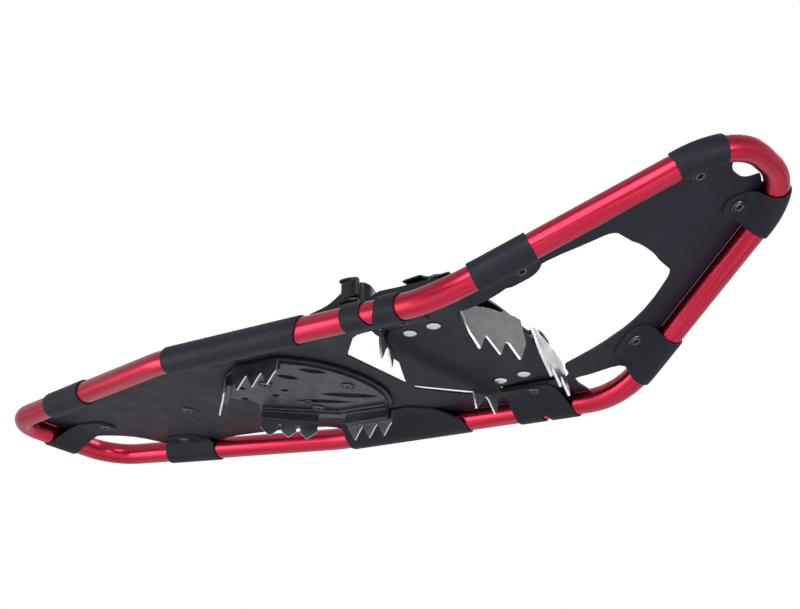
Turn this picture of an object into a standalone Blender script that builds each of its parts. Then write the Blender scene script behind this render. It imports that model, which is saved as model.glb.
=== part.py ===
"""A tubular-frame snowshoe with a pivoting toe crampon and boot binding, modelled as separate pieces.

The design frame has X to the right, Y towards the nose and Z up, with its origin on the centre
line, level with the frame tube's centre and abreast of the binding pivot. Two empties place the
pieces: one stands the shoe on its crampon teeth, the other tilts the binding on its pivot axis.
Design sizes are in millimetres and become metres in the functions that make meshes.
"""

import math

import bmesh
import bpy
from mathutils import Matrix, Vector

MM = 0.001

# Where the design origin stands in the part's own frame (origin: centre of the base).
STAND_Y = 107.6
STAND_Z = 18.6

# Frame tube: 3/4 inch aluminium, bent to a long tapered loop with a raised nose.
TUBE_RADIUS = 9.525
TUBE_WALL = 1.25
NOSE_Y = 250.6
NOSE_CORNER_X = 41.2
SHOULDER = (116.1, 70.9)
WAIST = (110.9, -219.2)
TAIL_CORNER_X = 60.0
TAIL_Y = -463.0
NOSE_RADIUS = 55.0
SHOULDER_RADIUS = 120.0
TAIL_RADIUS = 36.0
NOSE_BEND_Y = 65.8
NOSE_BEND_HALF = 30.0
NOSE_SLOPE = 0.60
TUBE_SIDES = 4  # bevel resolution of the tube's section
TUBE_END_GAP = 0.5
SPLICE_LENGTH = 25.0

# Deck sheet, hung between the tubes a little above their centre plane.
DECK_LOW = 5.4
DECK_THICK = 1.8
DECK_TOP = DECK_LOW + DECK_THICK
DECK_EDGE = 8.9  # from the tube's centre line to the deck's edge
GAP = 0.4

# Wraps that lace the deck to the tube.
WRAP_THICK = 1.8
WRAP_INNER = TUBE_RADIUS + 0.5
WRAP_END_ROUND = 7.0

# Rivets.
RIVET_SHANK = 2.0
RIVET_HOLE = 2.5
RIVET_HEAD = 4.6
RIVET_SEGMENTS = 10

# Heel crampon under the deck.
HEEL_TOP = DECK_LOW - GAP
HEEL_SLAB = 2.8
HEEL_SKIRT_LOW = -5.0
BLADE_THICK = 1.6
HEEL_TIP_Z = -18.6
HEEL_ROOT_Z = HEEL_TOP - HEEL_SLAB
HEEL_SIDE_X = 71.4
TOOTH_PITCH = 16.0

# Binding, in its own frame: origin on the pivot axis, Z across the plates.
PIVOT_Z = 6.6
REST_PITCH = 5.0
PLATE_LOW = 0.6
PLATE_THICK = 2.4
CLAW_LOW = 3.3
CLAW_THICK = 1.8
BAND_LOW = 5.4
BAND_THICK = 2.4
BED_LOW = 8.1
BED_THICK = 3.0
BED_TOP = BED_LOW + BED_THICK
TREAD_TOP = BED_TOP + 3.4
CLAW_SWEEP = math.radians(14.0)
CLAW_LEAN = math.radians(16.7)
CLAW_APEX_Y = 61.6
TAB_SWEEP = math.radians(15.5)
WING_THICK = 2.4
STRAP_THICK = 2.2
HEEL_ANCHOR = (-34.0, 31.0)  # y and z of the heel strap's own pivot

STRAP_RIVET_X = 58.4
STRAP_RIVET_FRONT_Y = 14.6
STRAP_RIVET_REAR_Y = -7.7


# ---------------------------------------------------------------- scene

def clear_scene():
    for item in list(bpy.data.objects):
        bpy.data.objects.remove(item, do_unlink=True)


def new_collection(name):
    group = bpy.data.collections.new(name)
    bpy.context.scene.collection.children.link(group)
    return group


clear_scene()
PARTS = new_collection("snowshoe")
CUTTERS = new_collection("cutters")


def new_empty(name, location, tilt=0.0, parent=None):
    empty = bpy.data.objects.new(name, None)
    empty.location = Vector(location) * MM
    empty.rotation_euler = (math.radians(tilt), 0.0, 0.0)
    empty.parent = parent
    PARTS.objects.link(empty)
    return empty


STAND = new_empty("stand", (0.0, STAND_Y, STAND_Z))
PIVOT = new_empty("binding_pivot", (0.0, 0.0, PIVOT_Z), REST_PITCH, STAND)
HEEL_PIVOT = new_empty("heel_strap_pivot", (0.0, *HEEL_ANCHOR), 0.0, PIVOT)

FINISHES = {
    "anodised_red": ((0.62, 0.012, 0.045, 1.0), 0.26, 0.85),
    "bare_aluminium": ((0.70, 0.71, 0.72, 1.0), 0.35, 1.0),
    "deck_sheet": ((0.024, 0.025, 0.034, 1.0), 0.48, 0.0),
    "wrap_sheet": ((0.020, 0.023, 0.027, 1.0), 0.45, 0.0),
    "dark_rivet": ((0.045, 0.047, 0.055, 1.0), 0.40, 0.7),
    "bright_rivet": ((0.78, 0.79, 0.80, 1.0), 0.25, 1.0),
    "claw_steel": ((0.42, 0.42, 0.43, 1.0), 0.38, 1.0),
    "blade_steel": ((0.16, 0.16, 0.17, 1.0), 0.42, 0.9),
    "heel_moulding": ((0.035, 0.037, 0.044, 1.0), 0.42, 0.0),
    "rubber": ((0.016, 0.016, 0.018, 1.0), 0.62, 0.0),
    "harness_shell": ((0.020, 0.021, 0.024, 1.0), 0.50, 0.0),
    "strap_urethane": ((0.015, 0.015, 0.017, 1.0), 0.38, 0.0),
    "buckle_plastic": ((0.022, 0.022, 0.024, 1.0), 0.30, 0.0),
    "pin_steel": ((0.55, 0.55, 0.56, 1.0), 0.30, 1.0),
}


def material_for(name, finish):
    colour, roughness, metallic = FINISHES[finish]
    material = bpy.data.materials.new(name)
    material.use_nodes = True
    shader = material.node_tree.nodes["Principled BSDF"]
    shader.inputs["Base Color"].default_value = colour
    shader.inputs["Roughness"].default_value = roughness
    shader.inputs["Metallic"].default_value = metallic
    material.diffuse_color = colour
    return material


def adopt(thing, finish, parent=STAND):
    thing.data.materials.append(material_for(thing.name, finish))
    thing.parent = parent
    PARTS.objects.link(thing)
    return thing


def as_cutter(thing, parent=STAND):
    thing.hide_render = True
    thing.display_type = "WIRE"
    thing.parent = parent
    CUTTERS.objects.link(thing)
    return thing


def mesh_object(name, points, faces, origin=(0.0, 0.0, 0.0)):
    """A mesh from points in millimetres, with its own origin."""
    start = Vector(origin)
    mesh = bpy.data.meshes.new(name)
    mesh.from_pydata([(Vector(p) - start) * MM for p in points], [], faces)
    mesh.update()
    thing = bpy.data.objects.new(name, mesh)
    thing.location = start * MM
    return thing


def bmesh_object(name, shape):
    mesh = bpy.data.meshes.new(name)
    shape.to_mesh(mesh)
    shape.free()
    return bpy.data.objects.new(name, mesh)


def smooth(thing, angle=35.0):
    thing.data.shade_smooth()
    thing.data.set_sharp_from_angle(angle=math.radians(angle))
    return thing


def cut(thing, cutter, name="hole", operation="DIFFERENCE"):
    step = thing.modifiers.new(name, "BOOLEAN")
    step.operation = operation
    step.solver = "EXACT"
    step.object = cutter
    return step


def thicken(thing, thickness, offset):
    shell = thing.modifiers.new("thickness", "SOLIDIFY")
    shell.thickness = thickness * MM
    shell.offset = offset
    shell.use_even_offset = True
    return shell


def bevel(thing, width, segments=1, angle=50.0):
    edge = thing.modifiers.new("edges", "BEVEL")
    edge.width = width * MM
    edge.segments = segments
    edge.limit_method = "ANGLE"
    edge.angle_limit = math.radians(angle)
    return edge


# ---------------------------------------------------------------- outlines

def both_halves(right, left):
    """A closed outline from two halves, each with positive X, that start and end on the centre line."""
    return list(right) + [(-x, y) for x, y in reversed(left) if x > 1e-6]


def mirrored(half):
    return both_halves(half, half)


def arc(centre, radius, start, end, count):
    points = []
    for step in range(count + 1):
        angle = math.radians(start + (end - start) * step / count)
        points.append((centre[0] + radius * math.cos(angle), centre[1] + radius * math.sin(angle)))
    return points


def circle(centre, radius, count=RIVET_SEGMENTS):
    return arc(centre, radius, 0.0, 360.0, count)[:-1]


def prism_points(outline, low, high, place):
    """Points and faces of an outline in a plane, given thickness along the plane's third axis."""
    count = len(outline)
    area = sum(
        outline[i - 1][0] * outline[i][1] - outline[i][0] * outline[i - 1][1] for i in range(count)
    )
    if area < 0.0:
        outline = list(reversed(outline))
    points = [place(a, b, low) for a, b in outline] + [place(a, b, high) for a, b in outline]
    faces = [tuple(reversed(range(count))), tuple(range(count, 2 * count))]
    for i in range(count):
        j = (i + 1) % count
        faces.append((i, j, count + j, count + i))
    return points, faces


def flat_prism(name, outline, low, high):
    points, faces = prism_points(outline, low, high, lambda a, b, c: (a, b, c))
    return mesh_object(name, points, faces)


def plane_place(origin, along, up):
    """A right-handed frame for an upright plate: along and up span it, thickness crosses it."""
    origin = Vector(origin)
    along = Vector(along).normalized()
    up = Vector(up).normalized()
    across = along.cross(up)
    return lambda a, b, c: origin + along * a + up * b + across * c


def filled_sheet(name, loops, cuts=()):
    """A flat sheet with holes, split along lines of constant y so that it can be bent."""
    shape = bmesh.new()
    for loop in loops:
        ring = [shape.verts.new((x, y, 0.0)) for x, y in loop]
        for i, vert in enumerate(ring):
            shape.edges.new((ring[i - 1], vert))
    bmesh.ops.triangle_fill(shape, use_beauty=True, edges=shape.edges[:])
    for line in cuts:
        bmesh.ops.bisect_plane(
            shape,
            geom=shape.verts[:] + shape.edges[:] + shape.faces[:],
            plane_co=(0.0, line, 0.0),
            plane_no=(0.0, 1.0, 0.0),
        )
    bmesh.ops.triangulate(shape, faces=shape.faces[:])
    bmesh.ops.recalc_face_normals(shape, faces=shape.faces[:])
    if sum(face.normal.z for face in shape.faces) < 0.0:
        bmesh.ops.reverse_faces(shape, faces=shape.faces[:])
    return bmesh_object(name, shape)


def bend_sheet(thing, place):
    """Moves a flat sheet's points, still in millimetres, to where place puts them, in metres."""
    for vert in thing.data.vertices:
        vert.co = Vector(place(vert.co.x, vert.co.y)) * MM
    thing.data.update()


# ---------------------------------------------------------------- frame plane

def nose_profile(y):
    """Height of the frame plane and its slope at y: flat, a smooth bend, then a straight rise."""
    start = NOSE_BEND_Y - NOSE_BEND_HALF
    share = (y - start) / (2.0 * NOSE_BEND_HALF)
    if share <= 0.0:
        return 0.0, 0.0
    if share >= 1.0:
        return NOSE_SLOPE * (y - NOSE_BEND_Y), NOSE_SLOPE
    return NOSE_SLOPE * NOSE_BEND_HALF * share * share, NOSE_SLOPE * share


def unrolled_table():
    """Rows of (length along the plane, y, z, slope angle), a millimetre apart in y."""
    rows = []
    length = NOSE_BEND_Y - NOSE_BEND_HALF
    y = length
    height = 0.0
    while y < NOSE_Y + 40.0:
        z, slope = nose_profile(y)
        if rows:
            length += math.hypot(1.0, z - height)
        rows.append((length, y, z, math.atan(slope)))
        height = z
        y += 1.0
    return rows


TABLE = unrolled_table()


def unroll(y):
    """Length along the frame plane at y."""
    if y <= TABLE[0][1]:
        return y
    place = y - TABLE[0][1]
    row = min(int(place), len(TABLE) - 2)
    share = place - row
    return TABLE[row][0] * (1.0 - share) + TABLE[row + 1][0] * share


def on_plane(x, length, height=0.0):
    """The point at x and a length along the frame plane, raised square to the plane."""
    if length <= TABLE[0][0]:
        return (x, length, height)
    low = 0
    high = len(TABLE) - 1
    while high - low > 1:
        middle = (low + high) // 2
        if TABLE[middle][0] <= length:
            low = middle
        else:
            high = middle
    first = TABLE[low]
    second = TABLE[high]
    share = (length - first[0]) / (second[0] - first[0])
    y, z, angle = (first[i] * (1.0 - share) + second[i] * share for i in (1, 2, 3))
    return (x, y - height * math.sin(angle), z + height * math.cos(angle))


def turned_path(corners):
    """A polyline with its corners rounded, and the distances where it needs a point."""
    path = [Vector(corners[0][0])]
    for index in range(1, len(corners) - 1):
        corner = Vector(corners[index][0])
        radius = corners[index][1]
        back = (Vector(corners[index - 1][0]) - corner).normalized()
        ahead = (Vector(corners[index + 1][0]) - corner).normalized()
        half = 0.5 * back.angle(ahead)
        trim = radius / math.tan(half)
        centre = corner + (back + ahead).normalized() * (radius / math.sin(half))
        start = corner + back * trim - centre
        sweep = start.angle_signed(corner + ahead * trim - centre)
        steps = max(2, round(abs(math.degrees(sweep)) / 7.0))
        for step in range(steps + 1):
            turn = Matrix.Rotation(-sweep * step / steps, 2)
            path.append(centre + turn @ start)
    path.append(Vector(corners[-1][0]))
    return path


FRAME_CORNERS = (
    ((0.0, NOSE_Y), 0.0),
    ((NOSE_CORNER_X, NOSE_Y), NOSE_RADIUS),
    (SHOULDER, SHOULDER_RADIUS),
    (WAIST, SHOULDER_RADIUS),
    ((TAIL_CORNER_X, TAIL_Y), TAIL_RADIUS),
    ((0.0, TAIL_Y), 0.0),
)


BEND_LINES = tuple(NOSE_BEND_Y - NOSE_BEND_HALF + 2.0 * NOSE_BEND_HALF * i / 7.0 for i in range(8))


def split_bend(path):
    """Adds a point to the path wherever it crosses one of the lines at which the nose bends."""
    out = [path[0]]
    for first, second in zip(path, path[1:]):
        low, high = sorted((first.y, second.y))
        for line in reversed(BEND_LINES):
            if low + 1.0 < line < high - 1.0:
                out.append(first.lerp(second, (first.y - line) / (first.y - second.y)))
        out.append(second)
    return out


# Right half of the centre line, from the nose to the tail, in unrolled coordinates.
RAIL = [Vector((p.x, unroll(p.y))) for p in split_bend(turned_path(FRAME_CORNERS))]
RAIL_AT = [0.0]
for rail_start, rail_end in zip(RAIL, RAIL[1:]):
    RAIL_AT.append(RAIL_AT[-1] + (rail_end - rail_start).length)


def rail_point(distance):
    """Centre-line point and inward direction at a distance from the nose."""
    distance = min(max(distance, 0.0), RAIL_AT[-1])
    index = max(i for i in range(len(RAIL) - 1) if RAIL_AT[i] <= distance + 1e-9)
    share = (distance - RAIL_AT[index]) / (RAIL_AT[index + 1] - RAIL_AT[index])
    point = RAIL[index].lerp(RAIL[index + 1], share)
    return point, rail_inward(index, share)


def rail_inward(index, share):
    """Direction towards the shoe's middle, blended from segment to segment."""
    def square(i):
        i = min(max(i, 0), len(RAIL) - 2)
        along = (RAIL[i + 1] - RAIL[i]).normalized()
        return Vector((along.y, -along.x))
    here = square(index)
    near = square(index + 1) if share > 0.5 else square(index - 1)
    weight = abs(share - 0.5)
    return (here * (1.0 - weight) + near * weight).normalized()


def rail_distance(y):
    """Distance from the nose at which the rail passes y, along its side."""
    target = unroll(y)
    for i in range(len(RAIL) - 1):
        if RAIL[i].y >= target > RAIL[i + 1].y:
            share = (RAIL[i].y - target) / (RAIL[i].y - RAIL[i + 1].y)
            return RAIL_AT[i] + share * (RAIL_AT[i + 1] - RAIL_AT[i])
    return RAIL_AT[-1]


def rail_offset(distance, inward):
    point, normal = rail_point(distance)
    return point + normal * inward


def rail_edge(first_y, last_y, inward=DECK_EDGE):
    """Points beside the rail, a constant distance inside its centre line."""
    start = rail_distance(first_y)
    end = rail_distance(last_y)
    inner = [d for d in RAIL_AT if start + 4.0 < d < end - 4.0]
    return [tuple(rail_offset(d, inward)) for d in [start, *inner, end]]


# ---------------------------------------------------------------- frame

def make_frame_tube():
    right = [on_plane(p.x, p.y) for p in RAIL]
    right[-1] = (TUBE_END_GAP, right[-1][1], right[-1][2])
    left = [(-x, y, z) for x, y, z in right[1:]]
    points = list(reversed(left)) + right
    curve = bpy.data.curves.new("frame_tube", "CURVE")
    curve.dimensions = "3D"
    curve.bevel_depth = TUBE_RADIUS * MM
    curve.bevel_resolution = TUBE_SIDES
    curve.use_fill_caps = False
    spline = curve.splines.new("POLY")
    spline.points.add(len(points) - 1)
    for slot, point in zip(spline.points, points):
        slot.co = (*(Vector(point) * MM), 1.0)
    carrier = bpy.data.objects.new("frame_path", curve)
    bpy.context.scene.collection.objects.link(carrier)
    bpy.context.view_layer.update()
    source = carrier.evaluated_get(bpy.context.evaluated_depsgraph_get())
    mesh = bpy.data.meshes.new_from_object(source)
    bpy.data.objects.remove(carrier, do_unlink=True)
    shape = bmesh.new()
    shape.from_mesh(mesh)
    bmesh.ops.remove_doubles(shape, verts=shape.verts[:], dist=1e-6)
    bmesh.ops.recalc_face_normals(shape, faces=shape.faces[:])
    shape.to_mesh(mesh)
    shape.free()
    mesh.name = "frame_tube"
    tube = bpy.data.objects.new("frame_tube", mesh)
    thicken(tube, TUBE_WALL, -1.0)
    adopt(smooth(tube), "anodised_red")


def ring_profile(outer, inner, half):
    return [(outer, half), (outer, -half), (inner, -half), (inner, half)]


def turned(name, profile, segments, closed):
    """A profile of (radius, height) turned about Z; it runs down its outer side."""
    points = [(radius, 0.0, height) for radius, height in profile]
    edges = [(i, i + 1) for i in range(len(points) - 1)]
    if closed:
        edges.append((len(points) - 1, 0))
    mesh = bpy.data.meshes.new(name)
    mesh.from_pydata([Vector(p) * MM for p in points], edges, [])
    thing = bpy.data.objects.new(name, mesh)
    screw = thing.modifiers.new("turn", "SCREW")
    screw.axis = "Z"
    screw.steps = segments
    screw.render_steps = segments
    screw.use_merge_vertices = True
    screw.merge_threshold = 0.00001
    screw.use_smooth_shade = True
    return thing


def make_frame_splice():
    outer = TUBE_RADIUS - TUBE_WALL - GAP - 0.25
    profile = ring_profile(outer, outer - 1.5, SPLICE_LENGTH / 2.0)
    splice = turned("frame_splice", profile, RIVET_SEGMENTS, True)
    splice.rotation_euler = (0.0, math.radians(90.0), 0.0)
    splice.location = Vector((0.0, TAIL_Y, 0.0)) * MM
    adopt(splice, "bare_aluminium")


# ---------------------------------------------------------------- wraps

def wrap_section(top_reach, reach, land):
    """Inner side of a wrap across the tube: top leg, round the outside, then the bottom leg."""
    under = DECK_LOW - GAP
    distance = math.hypot(land, under)
    tangent = math.degrees(math.atan2(under, land) - math.acos(WRAP_INNER / distance))
    section = [(top_reach, DECK_TOP + GAP), (12.0, DECK_TOP + GAP)]
    section += arc((0.0, 0.0), WRAP_INNER, 82.0, 360.0 + tangent, 9)
    section += [(land, under), (land + 0.5 * (reach - land), under), (reach, under)]
    return section


def wrap_mesh(name, stations, top_reach, reaches, land):
    """A strap surface through one section per station; a station gives points from (in, up)."""
    points = []
    width = 0
    for station, reach in zip(stations, reaches):
        section = wrap_section(top_reach, reach, land)
        width = len(section)
        points.extend(station(u, h) for u, h in section)
    faces = []
    for row in range(len(stations) - 1):
        for col in range(width - 1):
            a = row * width + col
            faces.append((a, a + width, a + width + 1, a + 1))
    return mesh_object(name, points, faces)


def rail_station(distance, side, shift):
    """A section's place at a rail distance; the legs lean by shift along the rail as they run in."""
    def place(inward, height):
        lean = min(max((inward - 10.0) / 10.0, 0.0), 1.0)
        point, normal = rail_point(distance + shift * lean)
        spot = point + normal * inward
        x, y, z = on_plane(spot.x, spot.y, height)
        return (side * x, y, z)
    return place


def face_outwards(thing, side):
    if side < 0:
        thing.data.flip_normals()


def rounded_reach(share, width, reach, land):
    """How far the bottom leg runs in at a share of the wrap's width, for a rounded end."""
    radius = min(WRAP_END_ROUND, 0.5 * width)
    inside = min(share, 1.0 - share) * width
    if inside >= radius:
        return reach
    drop = radius - math.sqrt(max(radius * radius - (radius - inside) ** 2, 0.0))
    return max(reach - drop, land + 1.5)


def rivet_cutter(name, place, length, parent):
    shape = bmesh.new()
    bmesh.ops.create_cone(
        shape,
        cap_ends=True,
        segments=RIVET_SEGMENTS,
        radius1=RIVET_HOLE * MM,
        radius2=RIVET_HOLE * MM,
        depth=length * MM,
    )
    cutter = bmesh_object(name, shape)
    cutter.matrix_basis = place
    return as_cutter(cutter, parent)


def tilt_about_x(angle, spot):
    return Matrix.Translation(Vector(spot) * MM) @ Matrix.Rotation(angle, 4, "X")


def strap_rivet(name, x, length, low, high, finish="dark_rivet"):
    """A tubular rivet square to the frame plane, its open end below."""
    profile = [
        (0.0, high + 1.0),
        (3.4, high + 0.9),
        (4.4, high + GAP),
        (RIVET_SHANK, high + GAP),
        (RIVET_SHANK, low - GAP),
        (RIVET_HEAD, low - GAP),
        (RIVET_HEAD - 0.7, low - 1.3),
        (2.9, low - 1.5),
        (2.0, low - 1.0),
        (1.7, low + 0.8),
        (0.0, low + 0.8),
    ]
    rivet = turned(name, profile, RIVET_SEGMENTS, False)
    base = Vector(on_plane(x, length, 0.0))
    lifted = Vector(on_plane(x, length, 1.0)) - base
    angle = math.atan2(-lifted.y, lifted.z)
    rivet.matrix_basis = tilt_about_x(angle, base)
    return adopt(rivet, finish), tilt_about_x(angle, base)


DECK_HOLES = []


def wrap_stations(start, end, edge):
    """Distances at which a wrap needs a section: its rounded ends and the rail's own corners."""
    ends = [start, start + 0.3 * edge, start + edge, end - edge, end - 0.3 * edge, end]
    corners = [d for d in RAIL_AT if start < d < end and all(abs(d - e) > 1.2 for e in ends)]
    return sorted(ends + corners)


def make_wrap(name, first_y, last_y, land, reach, lean=(0.0, 0.0), rivet=None):
    """A pair of wraps round the tubes between two stations, mirrored right and left."""
    start = rail_distance(first_y)
    end = rail_distance(last_y)
    span = end - start
    rows = wrap_stations(start, end, min(WRAP_END_ROUND, 0.3 * span))
    shares = [(row - start) / span for row in rows]
    reaches = [rounded_reach(share, span, reach, land) for share in shares]
    shifts = [lean[0] + (lean[1] - lean[0]) * share for share in shares]
    for side, word in ((1, "right"), (-1, "left")):
        stations = [rail_station(row, side, shift) for row, shift in zip(rows, shifts)]
        wrap = wrap_mesh(f"{name}_{word}", stations, reach - 1.5, reaches, land)
        face_outwards(wrap, side)
        thicken(wrap, WRAP_THICK, 1.0)
        adopt(smooth(wrap), "wrap_sheet")
        if rivet:
            spot = rail_offset(rail_distance(rivet[1]), rivet[0])
            x = side * spot.x
            low = DECK_LOW - GAP - WRAP_THICK
            high = DECK_TOP + GAP + WRAP_THICK
            _, place = strap_rivet(f"{name}_rivet_{word}", x, spot.y, low, high)
            cutter = rivet_cutter(f"{name}_{word}_cut", place, 60.0, STAND)
            cut(wrap, cutter)
            DECK_HOLES.append((x, spot.y))


def make_tail_wrap():
    """One wrap round the tail tube, with a long tongue riveted on the centre line."""
    half = 21.0
    shares = (-1.0, -0.93, -0.75, 0.75, 0.93, 1.0)
    reach = 63.0
    land = 30.0
    reaches = [reach - 14.0, reach - 6.0, reach, reach, reach - 6.0, reach - 14.0]

    def station(x, narrow):
        return lambda inward, height: (x * (1.0 - narrow * max(inward, 0.0)), TAIL_Y + inward, height)

    stations = [station(s * half, 0.0035) for s in shares]
    wrap = wrap_mesh("tail_wrap", stations, 40.0, reaches, land)
    wrap.data.flip_normals()
    thicken(wrap, WRAP_THICK, 1.0)
    adopt(smooth(wrap), "wrap_sheet")
    low = DECK_LOW - GAP - WRAP_THICK
    _, place = strap_rivet("tail_rivet", 0.0, TAIL_Y + 54.5, low, DECK_TOP)
    cut(wrap, rivet_cutter("tail_cut", place, 30.0, STAND))
    DECK_HOLES.append((0.0, TAIL_Y + 54.5))


# ---------------------------------------------------------------- deck

OPENING_SIDE = 77.0
NOSE_ARC = (4.5, 195.6)  # centre of the tube's bend at the right of the nose
TAIL_ARC = (30.7, -427.0)  # centre of the tube's bend at the right of the tail
DECK_END = TAIL_Y + DECK_EDGE + 0.3


def deck_half(side):
    """Half of the deck's edge, nose to tail. The left half leaves gaps at the toe and the tail."""
    half = [(0.0, unroll(231.8)), (7.0, unroll(232.4)), (12.0, unroll(234.5)), (15.0, unroll(237.8))]
    half += [(x, unroll(y)) for x, y in arc(NOSE_ARC, 55.0 - DECK_EDGE, 74.0, 46.0, 3)]
    if side > 0:
        half += rail_edge(233.5, -209.0)
    else:
        half += rail_edge(233.5, 86.0)
        gap = ((93.0, 82.8), (86.5, 74.0), (81.5, 60.0), (78.5, 49.5), (84.0, 46.5))
        half += [(x, unroll(y)) for x, y in gap]
        half += rail_edge(43.5, -209.0)
    half += [(91.0, -217.0), (87.0, -228.0), (80.5, -262.0), (77.0, -290.0), (75.0, -325.0)]
    if side > 0:
        half += rail_edge(-338.0, -430.0)
        half += arc(TAIL_ARC, TAIL_RADIUS - DECK_EDGE - 0.3, -25.0, -80.0, 3)
    else:
        half += rail_edge(-338.0, -398.0)
        half += [(50.0, -400.0), (38.0, -407.0), (28.0, -419.0), (19.0, -437.0), (17.5, DECK_END)]
    return [tuple(p) for p in half] + [(0.0, DECK_END)]


def opening_half(side):
    """Half of the opening for the boot's toe, the crampon and the binding's tail."""
    half = [(0.0, 161.5), (10.0, 161.2), (19.0, 159.6), (28.0, 157.2)]
    half += arc((33.0, 146.0), 11.5, 66.0, 22.0, 3)
    if side > 0:
        half += [(51.5, 138.0), (60.0, 127.5), (66.5, 116.0), (69.5, 104.0), (71.0, 90.0), (73.0, 70.0)]
        half += [(75.5, 54.0)]
    else:
        half += [(50.5, 138.0), (56.8, 125.0), (58.2, 110.0), (55.5, 92.0), (52.8, 73.0), (54.0, 58.0)]
        half += [(57.0, 53.6), (68.0, 50.0)]
    half += [(OPENING_SIDE, 38.0), (OPENING_SIDE, -38.0), (75.5, -45.0), (71.0, -52.5), (45.5, -79.0)]
    half += [(41.0, -81.0), (0.0, -81.0)]
    return [(x, unroll(y)) for x, y in half]


def make_deck():
    loops = [both_halves(deck_half(1), deck_half(-1)), both_halves(opening_half(1), opening_half(-1))]
    loops += [circle(spot, RIVET_HOLE) for spot in DECK_HOLES]
    deck = filled_sheet("deck", loops, [unroll(line) for line in BEND_LINES])
    bend_sheet(deck, lambda x, length: on_plane(x, length, DECK_LOW + 0.5 * DECK_THICK))
    thicken(deck, DECK_THICK, 0.0)
    adopt(deck, "deck_sheet")


def make_heel_pad():
    """Grip pad on the deck where the boot's heel lands, with cross ribs moulded on it."""
    low = DECK_TOP + GAP
    half = [(0.0, -96.0), (30.0, -98.0)] + arc((36.0, -106.0), 8.0, 80.0, 0.0, 3)
    half += [(44.0, -200.0), (30.0, -290.0)] + arc((18.0, -300.0), 12.0, 0.0, -90.0, 4)
    half += [(0.0, -312.0)]
    pad = flat_prism("heel_pad", mirrored(half), low, low + 1.6)
    for index in range(6):
        y = -112.0 - 15.0 * index
        corners = [(-34, y), (34, y), (34, y + 6), (-34, y + 6)]
        rib = flat_prism(f"pad_rib_{index}", corners, low + 0.8, low + 3.2)
        cut(pad, as_cutter(rib), f"rib_{index}", "UNION")
    for index, (x, y) in enumerate(HEEL_SCREWS + ((0.0, -301.0),)):
        spot = Matrix.Translation(Vector((x, y, low)) * MM)
        cut(pad, rivet_cutter(f"pad_cut_{index}", spot, 12.0, STAND), f"hole_{index}")
    adopt(pad, "rubber")


# ---------------------------------------------------------------- heel crampon

HEEL_SCREWS = ((0.0, -116.5), (33.0, -176.5), (-33.0, -176.5))
SIDE_TIPS_Y = (-135.7, -151.5, -167.5)
CHEVRON_OUTER = (57.4, -198.0)
CHEVRON_INNER = (24.6, -234.6)


def toothed_edge(length, teeth, root, valley, tip, first, lean=0.0):
    """Outline of a toothed blade: straight root above, triangular teeth below."""
    outline = [(0.0, root), (length, root), (length - 0.5, valley - 1.0)]
    for index in reversed(range(teeth)):
        centre = first + TOOTH_PITCH * index
        outline.append((centre + lean, tip))
        if index:
            outline.append((centre - 0.5 * TOOTH_PITCH + 0.8, valley))
            outline.append((centre - 0.5 * TOOTH_PITCH - 0.8, valley))
    outline.append((0.5, valley - 1.0))
    return outline


def blade_from(name, outline, origin, along, up, side, thick=BLADE_THICK):
    place = plane_place(origin, along, up)

    def mirror(a, b, c):
        point = place(a, b, c)
        return (side * point.x, point.y, point.z)

    points, faces = prism_points(outline, -0.5 * thick, 0.5 * thick, mirror)
    if side < 0:
        faces = [tuple(reversed(face)) for face in faces]
    return mesh_object(name, points, faces)


def make_heel_blades():
    side_length = 48.5
    side_outline = toothed_edge(side_length, 3, HEEL_ROOT_Z, -8.0, HEEL_TIP_Z, 8.6)
    outer = Vector((*CHEVRON_OUTER, 0.0))
    inner = Vector((*CHEVRON_INNER, 0.0))
    chevron_length = (outer - inner).length
    chevron_outline = toothed_edge(chevron_length, 3, HEEL_ROOT_Z, -8.0, HEEL_TIP_Z, 8.6)
    corner = (HEEL_SIDE_X, -176.2, 0.0)
    upright = (-0.06, 0, 1)
    for side, word in ((1, "right"), (-1, "left")):
        blade = blade_from(f"heel_side_blade_{word}", side_outline, corner, (0, 1, 0), upright, side)
        adopt(blade, "blade_steel")
        name = f"heel_rear_blade_{word}"
        adopt(blade_from(name, chevron_outline, inner, outer - inner, (0, 0, 1), side), "blade_steel")


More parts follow.
